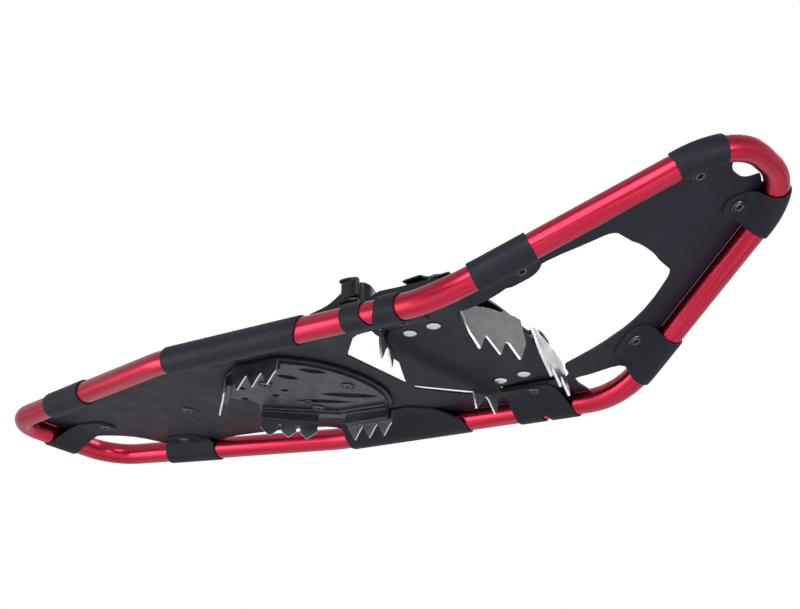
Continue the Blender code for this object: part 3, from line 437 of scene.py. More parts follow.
def plane_matrix(x, length):
    """A frame on the shoe's plane: Z square to it, X to the right."""
    base = on_plane(x, length)
    up = (on_plane(x, length, 1.0) - base).normalized()
    right = Vector((1.0, 0.0, 0.0))
    turn = Matrix((right, up.cross(right), up)).transposed()
    return STAND_MATRIX @ Matrix.Translation(base) @ turn.to_4x4()


# ---- materials

def new_material(name, colour, roughness, metallic=0.0, coat=0.0, coat_roughness=0.1, specular=0.5):
    material = bpy.data.materials.new(name)
    material.use_nodes = True
    shader = material.node_tree.nodes["Principled BSDF"]
    shader.inputs["Base Color"].default_value = (*colour, 1.0)
    shader.inputs["Roughness"].default_value = roughness
    shader.inputs["Metallic"].default_value = metallic
    shader.inputs["Coat Weight"].default_value = coat
    shader.inputs["Coat Roughness"].default_value = coat_roughness
    shader.inputs["Specular IOR Level"].default_value = specular
    material.diffuse_color = (*colour, 1.0)
    return material


def node(material, kind, **values):
    """Adds a shader node to a material, or to the world, and sets its named inputs."""
    made = material.node_tree.nodes.new(kind)
    for key, value in values.items():
        made.inputs[key].default_value = value
    return made


def link(material, source, target):
    material.node_tree.links.new(source, target)


def shader_of(material):
    return material.node_tree.nodes["Principled BSDF"]


def coordinates(material, scale, use_uv=False):
    source = node(material, "ShaderNodeTexCoord")
    mapping = node(material, "ShaderNodeMapping")
    mapping.inputs["Scale"].default_value = scale
    link(material, source.outputs["UV" if use_uv else "Object"], mapping.inputs["Vector"])
    return mapping.outputs["Vector"]


def noise_value(material, scale, detail=4.0, roughness=0.55, stretch=(1, 1, 1), use_uv=False):
    texture = node(material, "ShaderNodeTexNoise", Scale=scale, Detail=detail, Roughness=roughness)
    link(material, coordinates(material, stretch, use_uv), texture.inputs["Vector"])
    return texture.outputs["Fac"]


def ramp(material, value, low, high, first, second):
    """Maps a value between two stops onto two colours."""
    made = node(material, "ShaderNodeValToRGB")
    made.color_ramp.elements[0].position = low
    made.color_ramp.elements[0].color = (*first, 1.0)
    made.color_ramp.elements[1].position = high
    made.color_ramp.elements[1].color = (*second, 1.0)
    link(material, value, made.inputs["Fac"])
    return made.outputs["Color"]


def grey(value):
    return (value, value, value)


def vary_colour(material, value, low, high, first, second):
    link(material, ramp(material, value, low, high, first, second), shader_of(material).inputs["Base Color"])


def vary_roughness(material, value, low, high, first, second):
    colour = ramp(material, value, low, high, grey(first), grey(second))
    link(material, colour, shader_of(material).inputs["Roughness"])


def add_bump(material, value, distance, strength=1.0):
    bump = node(material, "ShaderNodeBump", Strength=strength, Distance=distance)
    link(material, value, bump.inputs["Height"])
    previous = shader_of(material).inputs["Normal"]
    if previous.is_linked:
        link(material, previous.links[0].from_socket, bump.inputs["Normal"])
    link(material, bump.outputs["Normal"], previous)


STEEL_GRAIN = (900.0, 900.0, 60.0)
TUBE_STREAKS = (420.0, 9.0, 1.0)
TUBE_CLOUDS = (160.0, 5.0, 1.0)


def anodised_tube():
    """Clear red anodising over drawn aluminium: fine streaks along the tube and cloudy gloss."""
    material = new_material("anodised_red_tube", (0.55, 0.008, 0.035), 0.27, 1.0, 0.35, 0.18)
    streak = noise_value(material, 1.0, 5.0, 0.6, TUBE_STREAKS, True)
    vary_colour(material, streak, 0.35, 0.68, (0.42, 0.006, 0.028), (0.74, 0.030, 0.085))
    broad = noise_value(material, 1.0, 3.0, 0.5, TUBE_CLOUDS, True)
    vary_roughness(material, broad, 0.35, 0.7, 0.20, 0.38)
    add_bump(material, streak, 0.00004, 0.5)
    return material


def coated_sheet(name, colour, lighter, roughness, grain=0.00005):
    """Smooth coated cloth: a fine grain, faint mottling and duller handled patches."""
    material = new_material(name, colour, roughness, specular=0.20)
    patch = noise_value(material, 14.0, 3.0)
    vary_colour(material, patch, 0.35, 0.75, colour, lighter)
    wear = noise_value(material, 55.0, 4.0)
    vary_roughness(material, wear, 0.3, 0.75, roughness - 0.06, roughness + 0.08)
    add_bump(material, noise_value(material, 1500.0, 2.0), grain, 0.5)
    add_bump(material, noise_value(material, 38.0, 2.0), 0.0004, 0.25)
    return material


def brushed_steel(name, dark, light, roughness):
    """Rolled or ground sheet steel, its grain along one direction, with a few duller stains."""
    material = new_material(name, light, roughness, 1.0)
    grain = noise_value(material, 1.0, 4.0, 0.6, STEEL_GRAIN)
    vary_colour(material, grain, 0.3, 0.7, dark, light)
    stain = noise_value(material, 70.0, 5.0)
    vary_roughness(material, stain, 0.35, 0.7, roughness - 0.08, roughness + 0.12)
    add_bump(material, grain, 0.00003, 0.4)
    return material


def moulded(name, colour, lighter, roughness, texture=0.00008, scale=900.0):
    """Moulded plastic or rubber with a spark-eroded texture and a little scuffing."""
    material = new_material(name, colour, roughness, specular=0.32)
    scuff = noise_value(material, 48.0, 5.0, 0.65)
    vary_colour(material, scuff, 0.42, 0.78, colour, lighter)
    vary_roughness(material, noise_value(material, 130.0, 3.0), 0.3, 0.7, roughness - 0.07, roughness + 0.07)
    add_bump(material, noise_value(material, scale, 3.0), texture, 0.6)
    return material


RED = anodised_tube()
DECK = coated_sheet("deck_sheet", (0.0100, 0.0090, 0.0175), (0.0145, 0.0132, 0.0235), 0.50)
WRAP = coated_sheet("wrap_sheet", (0.0085, 0.0090, 0.0155), (0.0130, 0.0138, 0.0215), 0.50)
# The cut edges of all sheets are lighter than their faces: a painted highlight for the light that the edges
# catch.
CUT_EDGE_HIGHLIGHT = coated_sheet("sheet_cut_edge_painted_highlight", (0.016, 0.018, 0.021), (0.045, 0.048, 0.052), 0.60, 0.0002)
PLATE = coated_sheet("pivot_plate_sheet", (0.0075, 0.0080, 0.0150), (0.0110, 0.0118, 0.0205), 0.52)
DARK_STEEL = brushed_steel("dark_rivet_steel", (0.075, 0.080, 0.095), (0.22, 0.225, 0.25), 0.32)
BRIGHT_STEEL = brushed_steel("bright_rivet_steel", (0.62, 0.63, 0.65), (0.86, 0.87, 0.88), 0.26)
CLAW = brushed_steel("claw_steel", (0.17, 0.17, 0.175), (0.24, 0.24, 0.245), 0.56)
# Cut edges of the claw, its tabs and the heel blades are near white: partly bare steel, partly a painted
# highlight along the edges.
CLAW_EDGE_STEEL_AND_HIGHLIGHT = brushed_steel("claw_cut_edge_steel_and_highlight", (0.70, 0.71, 0.72), (0.92, 0.93, 0.94), 0.30)
BLADE = brushed_steel("heel_blade_steel", (0.12, 0.122, 0.140), (0.22, 0.224, 0.25), 0.36)
MOULDING = moulded("heel_moulding", (0.020, 0.021, 0.032), (0.034, 0.036, 0.050), 0.30)
# Real rubber for the grip pad and the footbed; the rivets use the same near-black finish as painted shade in
# their grooves and holes.
RUBBER_AND_RECESS_SHADE = moulded("grip_rubber_and_rivet_recess_shade", (0.010, 0.010, 0.012), (0.020, 0.020, 0.023), 0.66, 0.00012, 700.0)
SHELL = moulded("harness_shell", (0.007, 0.0075, 0.010), (0.014, 0.0145, 0.018), 0.50)
STRAP = moulded("strap_urethane", (0.007, 0.007, 0.009), (0.014, 0.014, 0.017), 0.34, 0.00005)
BUCKLE = moulded("buckle_plastic", (0.009, 0.009, 0.011), (0.018, 0.018, 0.021), 0.25, 0.00003)
PIN = brushed_steel("pin_steel", (0.40, 0.40, 0.41), (0.66, 0.66, 0.67), 0.30)
SLEEVE = brushed_steel("sleeve_aluminium", (0.55, 0.55, 0.56), (0.75, 0.75, 0.76), 0.35)


# ---- frame tube

TUBE_SIDES = 36
TUBE_STEP = 14.0


def make_tube():
    """One bent tube, whose two ends stop half a millimetre either side of the tail's middle."""
    right = [on_plane(p.x, p.y) for p in RAIL]
    right[-1] = Vector((0.5, right[-1].y, right[-1].z))
    path = [Vector((-p.x, p.y, p.z)) for p in reversed(right[1:])] + right
    dense = [path[0]]
    for a, b in zip(path, path[1:]):
        steps = max(1, round((b - a).length / TUBE_STEP))
        dense.extend(a.lerp(b, (k + 1) / steps) for k in range(steps))
    angles = [2.0 * math.pi * k / TUBE_SIDES for k in range(TUBE_SIDES)]
    rows = []
    for i, point in enumerate(dense):
        along = (dense[min(i + 1, len(dense) - 1)] - dense[max(i - 1, 0)]).normalized()
        across = along.cross(Vector((0.0, 0.0, 1.0))).normalized()
        up = across.cross(along)
        rows.append([point + (across * math.cos(t) + up * math.sin(t)) * TUBE_RADIUS for t in angles])
    shape = grid_surface(rows, closed=True)
    fix_normals(shape)
    tube = finish_mesh("tube", shape, [RED])
    add_thickness(tube, TUBE_WALL, -1.0)
    settle(tube, "frame", "frame_tube", "frame_tube")


# ---- wraps

def wrap_curve(land, bottom, top):
    """The strap's inner face across the tube, as points (inward, up), from the top leg's end."""
    under = DECK_LOW - GAP
    over = DECK_TOP + GAP
    distance = math.hypot(land, under)
    tangent = math.degrees(math.atan2(under, land) - math.acos(WRAP_INNER / distance))
    line = [(top, over), (0.5 * (top + 13), over), (13, over)]
    line += arc((0.0, 0.0), WRAP_INNER, 80.0, 360.0 + tangent, 26)
    line += [(land, under), (0.5 * (land + bottom), under), (bottom, under)]
    points = [Vector(p) for p in line]
    return chaikin(points[:4])[:-1] + points[3:-4] + chaikin(points[-4:])


class Section:
    """Turns a distance along the strap into a place beside the tube. Zero is the tube's underside."""

    def __init__(self, land, bottom, top):
        self.points = wrap_curve(land, bottom, top)
        lengths = distances(self.points)
        lowest = min(range(len(self.points)), key=lambda i: self.points[i].y)
        self.at = [d - lengths[lowest] for d in lengths]

    def spot(self, distance):
        distance = clamp(distance, self.at[0], self.at[-1])
        i = stretch_of(self.at, distance)
        share = (distance - self.at[i]) / (self.at[i + 1] - self.at[i])
        return self.points[i].lerp(self.points[i + 1], share)

    def reach(self, inward):
        """Distance along the strap at which the bottom leg has run in this far."""
        last = max(i for i in range(len(self.points)) if self.points[i].y < 0.0)
        for i in range(last - 6, len(self.points) - 1):
            if self.points[i].x <= inward <= self.points[i + 1].x:
                share = (inward - self.points[i].x) / (self.points[i + 1].x - self.points[i].x)
                return self.at[i] + share * (self.at[i + 1] - self.at[i])
        return self.at[-1]


def wrapped_strap(name, outline, section, first_y, last_y, side, lean=(0.0, 0.0)):
    """A strap cut flat and wrapped round a tube. The outline is (along the strap, share of width)."""
    start = rail_distance(first_y)
    span = rail_distance(last_y) - start
    flat = [(s, share * span) for s, share in outline]
    y_cuts = [d - start for d in RAIL_AT if start < d < start + span]
    extra = max(2, round(span / 5.0))
    y_cuts += [span * k / extra for k in range(1, extra)]
    shape = flat_sheet([flat], section.at[1:-1], y_cuts)
    wobble = RNG.uniform(0.0, 50.0)

    def place(s, d):
        inward, height = section.spot(s)
        ease = clamp((inward - 8.0) / 14.0)
        share = d / span
        shift = (lean[0] + (lean[1] - lean[0]) * share) * ease
        point, normal = rail_point(start + d + shift)
        spot = point + normal * inward
        ripple = 0.12 * noise.noise(Vector((s * 0.09, d * 0.09, wobble)))
        base = on_plane(spot.x, spot.y, height + (ripple if inward > 12.0 else 0.0))
        return Vector((side * base.x, base.y, base.z))

    bend(shape, place)
    if side < 0:
        bmesh.ops.reverse_faces(shape, faces=shape.faces[:])
    strap = finish_sheet(name, shape, WRAP, WRAP_THICK, -1.0)
    return strap


SHOULDER = 11.0


def tongue_outline(section, tongue, width_end):
    """A strap that is full width round the tube and ends below in a round tongue."""
    low = section.reach(tongue)
    high = section.at[0]
    shoulder = section.reach(SHOULDER)
    margin = 0.5 * (1.0 - width_end)
    points = [(high, 0, 9), (high, 1, 9), (shoulder, 1, 4)]
    return points + [(low, 1.0 - margin, 30.0), (low, margin, 30.0), (shoulder, 0.0, 4.0)]


def scaled_round(points, span, steps=8):
    """Rounds corners in real millimetres although the second coordinate is a share of the span."""
    real = [(p[0], p[1] * span, p[2] if len(p) > 2 else 0.0) for p in points]
    return [(x, y / span) for x, y in rounded(real, 0.0, steps)]


def make_wrap(name, right_ys, left_ys, land, bottom, top, width_end, lean=(0.0, 0.0)):
    section = Section(land, bottom, top)
    for side, word, (first_y, last_y) in ((1, "right", right_ys), (-1, "left", left_ys)):
        span = rail_distance(last_y) - rail_distance(first_y)
        outline = scaled_round(tongue_outline(section, bottom, width_end), span)
        strap = wrapped_strap(f"{name}_strap_{word}", outline, section, first_y, last_y, side, lean)
        settle(strap, "frame", "wrap", f"{name}_{word}")


def make_waist_wrap():
    """The long wraps: a skirt of deck sheet whose front edge slants inwards to the heel crampon."""
    section = Section(22.0, 37.5, 35.0)
    low = section.reach(37.5)
    ease = section.reach(SHOULDER)
    high = section.at[0]
    layout = ((1, "right", -70.8, -207.4, -0.055), (-1, "left", -77.0, -203.2, 0.03))
    for side, word, first_y, last_y, slant in layout:
        span = rail_distance(last_y) - rail_distance(first_y)
        points = [(high, slant, 6), (high, 0.985, 6), (ease, 1, 3), (low, 0.955, 5)]
        points += [(low, 0.30, 8), (ease, 0, 5), (0, 0, 8), (-14, slant, 8)]
        outline = scaled_round(points, span)
        strap = wrapped_strap(f"waist_strap_{word}", outline, section, first_y, last_y, side)
        settle(strap, "frame", "wrap", f"waist_wrap_{word}")


def make_pivot_tab():
    """One tab each side: two lobes round the tube, and between them a notch that widens outwards."""
    section = Section(22.5, 37.6, 36.0)
    ease = section.reach(SHOULDER)
    low = section.reach(37.6)
    high = section.at[0]
    outer = -13.0
    layout = (
        (1, "right", 30.6, -19, -2, (0.47, 0.56), (0.35, 0.655)),
        (-1, "left", 27.3, -26.2, 5, (0.45, 0.555), (0.42, 0.60)),
    )
    for side, word, front_y, rear_y, root, narrow, wide in layout:
        span = rail_distance(rear_y) - rail_distance(front_y)
        points = [(high, 0, 4), (high, wide[0], 3), (outer, wide[0], 9), (root, narrow[0], 2.6)]
        points += [(root, narrow[1], 2.6), (outer, wide[1], 9), (high, wide[1], 3), (high, 1, 4)]
        points += [(ease, 1, 3), (low, 0.93, 6), (low, 0.04, 4), (ease, 0, 3)]
        outline = scaled_round(points, span, 6)
        tab = wrapped_strap(f"pivot_tab_{word}", outline, section, front_y, rear_y, side, (2.5, 1.0))
        settle(tab, "frame", "wrap", f"pivot_strap_{word}", f"deck_tab_{word}")


def make_tail_wrap():
    """The wrap round the tail tube, wider to the right, with its tongue under the tail rivet."""
    left, right = -13.0, 19.0
    section = Section(30.0, 63.0, 40.0)
    low = section.reach(62.0)
    high = section.at[0]
    ease = section.reach(8.0)
    points = [(high, left, 6), (high, right * 0.6, 6), (ease, right, 10), (low, 12, 11)]
    points += [(low, -12, 11), (ease, left, 10)]
    outline = rounded(points, 0.0, 8)
    cuts = [left + (right - left) * k / 10.0 for k in range(1, 10)]
    shape = flat_sheet([outline], section.at[1:-1], cuts)

    def place(s, x):
        inward, height = section.spot(s)
        return Vector((x, TAIL_Y + inward, height))

    bend(shape, place)
    strap = finish_sheet("tail_strap", shape, WRAP, WRAP_THICK, 1.0)
    settle(strap, "frame", "wrap", "tail_wrap")


# ---- rivets

LOBE_RADIUS = 2.6
LOBE_DEPTH = 0.06


def revolve(name, profile, matrix, materials, segments, lobes=0):
    """Turns (radius, height, material) points about Z; lobes crimp the rim like a star."""
    shape = bmesh.new()
    rings = []
    for radius, height, _ in profile:
        if radius < 1e-6:
            rings.append([shape.verts.new((0.0, 0.0, height))])
            continue
        ring = []
        for k in range(segments):
            angle = 2.0 * math.pi * k / segments
            size = radius
            if lobes and abs(radius - LOBE_RADIUS) < 0.6 * LOBE_RADIUS:
                size *= 1.0 + LOBE_DEPTH * math.cos(lobes * angle)
            ring.append(shape.verts.new((size * math.cos(angle), size * math.sin(angle), height)))
        rings.append(ring)
    for (upper, lower), point in zip(zip(rings, rings[1:]), profile[1:]):
        for k in range(segments):
            j = (k + 1) % segments
            near = (upper[k % len(upper)], upper[j % len(upper)])
            far = (lower[j % len(lower)], lower[k % len(lower)])
            shape.faces.new(list(dict.fromkeys(near + far))).material_index = point[2]
    fix_normals(shape)
    return finish_mesh(name, shape, materials, matrix, 40.0)


RIVET_CAP = ((0.0, 1.2, 0), (3.0, 1.15, 0), (4.1, 0.8, 0), (4.4, 0.25, 0), (2.0, 0.2, 0))
# Collar points marked 1 paint the groove between rim and ridge, and the hole, near-black with the rubber
# finish: painted shade.
RIVET_COLLAR = (
    (2, -0.2, 0), (5.7, -0.2, 0), (5.9, -0.6, 0), (5.5, -1.15, 0), (4.9, -1.2, 1), (3.6, -1, 1),
    (3.1, -1.5, 0), (2.3, -1.3, 0), (1.8, -0.9, 1), (1.5, 1.2, 1), (0, 1.2, 1),
)


def rivet_profile(cap, collar, low, high):
    """Points for revolve: the cap's from its seat above, then the collar's from its seat below."""
    above = [(radius, high + rise, material) for radius, rise, material in cap]
    return above + [(radius, low + rise, material) for radius, rise, material in collar]


def tubular_rivet(name, x, length, low, high, node_name):
    """Dark tubular rivet: a crimped star-shaped collar below with a hole in it, a flat cap above. The groove
    in the collar and the hole are painted shade, in the near-black rubber finish.
    """
    profile = rivet_profile(RIVET_CAP, RIVET_COLLAR, low, high)
    rivet = revolve(name, profile, plane_matrix(x, length), [DARK_STEEL, RUBBER_AND_RECESS_SHADE], 48, 8)
    settle(rivet, "frame", "dark_rivet", node_name)


def make_rivets():
    low = DECK_LOW - GAP - WRAP_THICK
    high = DECK_TOP + GAP + WRAP_THICK
    spots = (
        ("nose_wrap_rivet", 24, 228.5),
        ("toe_wrap_rivet", 23.5, 112.5),
        ("pivot_strap_rivet", 30.5, 6.3),
        ("tail_side_wrap_rivet", 19.8, -370),
    )
    for name, inward, y in spots:
        spot = rail_offset(rail_distance(y), inward)
        for side, word in SIDES:
            tubular_rivet(f"{name}_head_{word}", side * spot.x, spot.y, low, high, f"{name}_{word}")
    tubular_rivet("tail_rivet_head", 0.0, TAIL_Y + 54.5, low, DECK_TOP, "tail_rivet")
    tubular_rivet("deck_rivet_head", 0.0, -301.0, DECK_LOW, DECK_TOP + GAP + 1.6, "deck_rivet")


# ---- deck

NOSE_ARC = (4.5, 195.6)
TAIL_ARC = (30.7, -427.0)
DECK_INSET = 8.0
DECK_END = TAIL_Y + 8.6


def deck_half(side):
    """Half of the deck's edge, nose to tail. The left half leaves gaps at the toe and the tail."""
    half = [(0, 231.8), (4, 231.9), (7.5, 232.4), (10.5, 233.6), (13, 235.4), (15, 237.8)]
    half += arc(NOSE_ARC, 55.0 - DECK_INSET, 74.0, 46.0, 7)
    half = [(x, unroll(y)) for x, y in half]
    if side > 0:
        half += rail_edge(233.5, -209.0, DECK_INSET)
    else:
        gap = [(98, 84.4), (92.5, 82.6), (88, 77.5), (85, 71), (82.2, 62)]
        gap += [(79.5, 53), (79.8, 49), (84.5, 46.6), (92, 44.6)]
        half += rail_edge(233.5, 85.5, DECK_INSET)
        half += [(x, unroll(y)) for x, y in gap]
        half += rail_edge(43.5, -209.0, DECK_INSET)
    half += [(95, -213), (90.5, -219), (86.5, -230), (80.5, -262), (77.4, -290)]
    half += [(76, -310), (76.2, -326), (78.5, -335)]
    if side > 0:
        half += rail_edge(-339.0, -430.0, DECK_INSET)
        half += arc(TAIL_ARC, 36.0 - DECK_INSET, -20.0, -82.0, 8)
    else:
        half += rail_edge(-339.0, -398.0, DECK_INSET)
        half += [(55, -400.5), (46, -404), (37, -410), (29, -419.5), (22, -433)]
        half += [(18, -446), (17, DECK_END)]
    return half + [(0.0, DECK_END)]


def opening_half(side):
    """Half of the opening for the boot's toe, the crampon and the binding's tail."""
    half = [(0, 161.5), (6, 161.4), (12, 160.9), (19, 159.7)]
    half += arc((32.0, 145.0), 14.5, 72.0, 28.0, 6)
    if side > 0:
        half += [(48.9, 145), (53.5, 137.5), (59.5, 128.5), (64.5, 119.5), (67.8, 111), (69.6, 102)]
        half += [(70.6, 92), (71.8, 80), (73.4, 68), (75.2, 56), (76.4, 46)]
    else:
        half += [(48.6, 145), (52.6, 137), (56.2, 127), (58, 117), (58, 108), (56.4, 98)]
        half += [(54.4, 86), (53, 75), (53, 67), (53.4, 59.5), (55, 56.2)]
        half += [(58.6, 54), (68, 50.8), (73.5, 46)]
    half += [(77, 38), (77, -36), (75.8, -44), (71.8, -51.5), (46.5, -78)]
    half += arc((41.0, -76.0), 5.0, -40.0, -90.0, 3) + [(0.0, -81.0)]
    return [(x, unroll(y)) for x, y in half]


def make_deck():
    outer = both_halves(deck_half(1), deck_half(-1))
    opening = both_halves(opening_half(1), opening_half(-1))
    cuts = [unroll(line) for line in BEND_LINES]
    shape = flat_sheet([outer, opening], (), cuts)
    bend(shape, lambda x, length: on_plane(x, length, DECK_LOW + 0.5 * DECK_THICK))
    deck = finish_sheet("deck_cloth", shape, DECK, DECK_THICK, 0.0)
    settle(deck, "frame", "deck", "deck")


def make_heel_pad():
    """Grip pad where the boot's heel lands: a thin mat with cross ribs, and chevrons behind them."""
    low = DECK_TOP + GAP
    half = [(0, -96), (30, -98)] + arc((36, -106), 8, 80, 0, 6)
    half += [(44, -200), (30, -290)] + arc((18, -300), 12, 0, -90, 8)
    half += [(0, -312)]
    shape = prism(mirrored(half), low, low + 1.6)
    for index in range(6):
        y = -112.0 - 15.0 * index
        bar = rounded([(-34, y), (34, y), (34, y + 6), (-34, y + 6)], 2.5, 4)
        prism(bar, low + 0.8, low + 3.2, shape=shape)
    for index in range(6):
        y = -205.0 - 13.0 * index
        reach = 31.0 - 2.6 * index
        for side in (1, -1):
            chevron = [(side * 2, y - 7), (side * reach, y)]
            chevron += [(side * reach, y + 4), (side * 2, y - 3)]
            prism(rounded(chevron, 1.2, 3), low + 0.8, low + 2.4, shape=shape)
    pad = finish_solid("heel_pad_mat", shape, [RUBBER_AND_RECESS_SHADE], STAND_MATRIX, 0.5)
    settle(pad, "frame", "grip_pad", "heel_pad")


# ---- heel crampon

HEEL_TOP = DECK_LOW - 0.4
HEEL_SLAB = 2.8
HEEL_LOW = HEEL_TOP - HEEL_SLAB
HEEL_SKIRT_LOW = -5.4
HEEL_TIP_Z = -18.6
HEEL_SIDE_X = 71.4
TOOTH_PITCH = 16.0
BLADE_THICK = 1.5
HEEL_LAYER = 2.2
CHEVRON_OUTER = (57.4, -198.0)
CHEVRON_INNER = (24.6, -234.6)
HEEL_SCREWS = ((0.0, -116.5), (33.0, -176.5), (-33.0, -176.5))


def upright(origin, along, up=(0.0, 0.0, 1.0)):
    """Places an outline on a plane that stands on a line."""
    origin = Vector(origin)
    along = Vector(along).normalized()
    up = Vector(up).normalized()
    across = along.cross(up)
    return lambda a, b, c: origin + along * a + up * b + across * c


FIRST_TOOTH = 8.6
GULLET = ((1.3, -9.3), (0.7, -8.2), (-0.7, -8.2), (-1.3, -9.3))


def tooth_outline(length, root, shoulder, half):
    """A row of three teeth with narrow gullets, from their shoulders' height and half width."""
    outline = [(0, root), (length, root), (length - 0.2, shoulder + 2)]
    for index in (2, 1, 0):
        centre = FIRST_TOOTH + TOOTH_PITCH * index
        outline += [(centre + half, shoulder), (centre + 0.5, HEEL_TIP_Z + 0.1)]
        outline += [(centre - 0.5, HEEL_TIP_Z + 0.1), (centre - half, shoulder)]
        if index:
            gullet = centre - 0.5 * TOOTH_PITCH
            outline += [(gullet + x, z) for x, z in GULLET]
    outline.append((0.2, shoulder + 2.5))
    return outline


def make_heel_blades():
    outer = Vector((*CHEVRON_OUTER, 0.0))
    inner = Vector((*CHEVRON_INNER, 0.0))
    layout = (
        ("heel_side_blade", (HEEL_SIDE_X, -176.2, 0), (0, 1, 0), (-0.06, 0, 1), 48.5, -10.5, 5.6),
        ("heel_rear_blade", inner, outer - inner, (0, 0, 1), (outer - inner).length, -14, 6.1),
    )
    for name, origin, along, up, length, shoulder, half in layout:
        outline = tooth_outline(length, HEEL_LOW - 0.4, shoulder, half)
        for side, word in SIDES:
            place = mirror_place(upright(origin, along, up), side)
            shape = prism(outline, -0.5 * BLADE_THICK, 0.5 * BLADE_THICK, place, edge_material=1)
            # The blades' cut edges take the near-white edge finish, partly a painted highlight.
            finish = [BLADE, CLAW_EDGE_STEEL_AND_HIGHLIGHT]
            blade = finish_solid(f"{name}_steel_{word}", shape, finish, STAND_MATRIX, 0.22, 2, 30.0)
            settle(blade, "frame", "blade_steel", f"{name}_{word}")


RIM_WIDTH = 2.6
RIM_LOW = HEEL_LOW - HEEL_LAYER - 2.0
RIM_HIGH = HEEL_LOW + 0.5


def ridge(shape, a, b):
    """A raised bar between two points on the heel plate's underside."""
    first = Vector(a)
    second = Vector(b)
    along = (second - first).normalized()
    out = Vector((-along.y, along.x)) * (0.5 * RIM_WIDTH)
    corners = [first - out, second - out, second + out, first + out]
    prism(rounded(corners, 0.36 * RIM_WIDTH, 4), RIM_LOW, RIM_HIGH, shape=shape)


def leaf(a, b, width, steps=8):
    """A pocket outline with pointed ends, from a to b."""
    first = Vector(a)
    second = Vector(b)
    run = second - first
    out = Vector((-run.y, run.x)).normalized() * (0.5 * width)
    shares = [i / steps for i in range(1, steps)]
    near = [first + run * t + out * math.sin(math.pi * t) ** 0.7 for t in shares]
    far = [first + run * t - out * math.sin(math.pi * t) ** 0.7 for t in reversed(shares)]
    return [tuple(p) for p in [first] + near + [second] + far]


HEEL_POCKETS = (
    ((46, -152.5), (30.5, -142.5), 10),
    ((49, -126.5), (31.5, -111.5), 11),
    ((-6, -151.5), (-32.5, -110.5), 12),
    ((-9, -182), (-35, -140), 9),
)
HEEL_HOLES = ((34.0, -202.3), (14.0, -172.6), (7.6, -188.5), (-16.7, -173.4), (12.5, -219.0))
HEEL_RIMS = (
    ((-9, -219), (-45.5, -165)),
    ((-45.5, -165), (-47.5, -116.5)),
    ((-15, -224.5), (-52.5, -169)),
    ((-52.5, -169), (-55.5, -121)),
    ((24, -224), (58, -186)),
    ((62, -174), (62, -134)),
)


def heel_outline(inset=0.0):
    half = [(0, -97.5), (10, -97.9), (22, -99.6), (34, -103.2), (45, -108.4), (55, -115)]
    half += [(63, -123), (68, -128.5), (70.2, -131), (70.2, -176), (65, -184), (58, -197)]
    half += [(25, -234), (18, -232), (12, -226), (8, -222), (0, -221)]
    centre = Vector((0.0, -165.0))
    shrunk = []
    for x, y in half:
        out = Vector((x, y)) - centre
        shrunk.append(tuple(centre + out * (1.0 - inset / out.length)))
    return mirrored(shrunk)


def heel_walls(shape, side):
    """The two stiff walls behind the blades on one side."""
    along = (Vector(CHEVRON_OUTER) - Vector(CHEVRON_INNER)).normalized()
    inward = Vector((-along.y, along.x))
    start = Vector(CHEVRON_INNER) + inward * 1.1
    end = Vector(CHEVRON_OUTER) + inward * 1.1
    slanted = [start, end, end + inward * 5.0, start + inward * 5.0]
    straight = [(65.2, -175), (70.3, -175), (70.3, -129.5), (65.2, -129.5)]
    for wall in (straight, slanted):
        placed = [(side * x, y) for x, y in wall]
        prism(rounded(placed, 1.2, 3), HEEL_SKIRT_LOW, HEEL_LOW + 0.5, shape=shape)


def make_heel_plate():
    """The slab with its walls and rims, and under it a second layer cut through by the pockets."""
    shape = prism(heel_outline(), HEEL_LOW, HEEL_TOP)
    for side, _ in SIDES:
        heel_walls(shape, side)
    for a, b in HEEL_RIMS:
        ridge(shape, a, b)
    plate = finish_solid("heel_crampon_moulding", shape, [MOULDING], STAND_MATRIX, 0.8, 3, 35.0)
    settle(plate, "frame", "heel_moulding", "heel_plate")
    pockets = [leaf(a, b, width) for a, b, width in HEEL_POCKETS]
    pockets += [arc(spot, 3.2, 0.0, 337.5, 16) for spot in HEEL_HOLES]
    layer = flat_sheet([heel_outline(3.5)] + pockets)
    bend(layer, lambda x, y: Vector((x, y, HEEL_LOW - 0.5 * HEEL_LAYER + 0.1)))
    cover = finish_mesh("heel_crampon_cover", layer, [MOULDING])
    add_thickness(cover, HEEL_LAYER, 0.0)
    add_bevel(cover, 0.7, 3, 35.0)
    settle(cover, "frame", "heel_moulding")


def make_heel_screws():
    for index, (x, y) in enumerate(HEEL_SCREWS):
        name = f"heel_screw_{index + 1}"
        tubular_rivet(f"{name}_head", x, y, HEEL_LOW - HEEL_LAYER, DECK_TOP + GAP + 1.6, name)


# ---- binding

PLATE_LOW = 0.6
PLATE_THICK = 2.4
LIP_Y = -14.0
LIP_RUN = 12.0
LIP_DROP = 7.5
LIP_SLOPE = 0.12
CLAW_LOW = 3.3
CLAW_THICK = 1.8
BAND_LOW = 5.4
BAND_THICK = 2.4
BED_LOW = 8.1
BED_TOP = 11.1
CLAW_SWEEP = math.radians(14.0)
CLAW_LEAN = math.radians(16.7)
CLAW_APEX_Y = 61.6
TAB_SWEEP = math.radians(15.5)
BAND_RIVETS = {
    "front_right": (58.4, 14.6),
    "rear_right": (58.4, -7.7),
    "front_left": (-58.4, 14.6),
    "rear_left": (-58.4, -7.7),
}


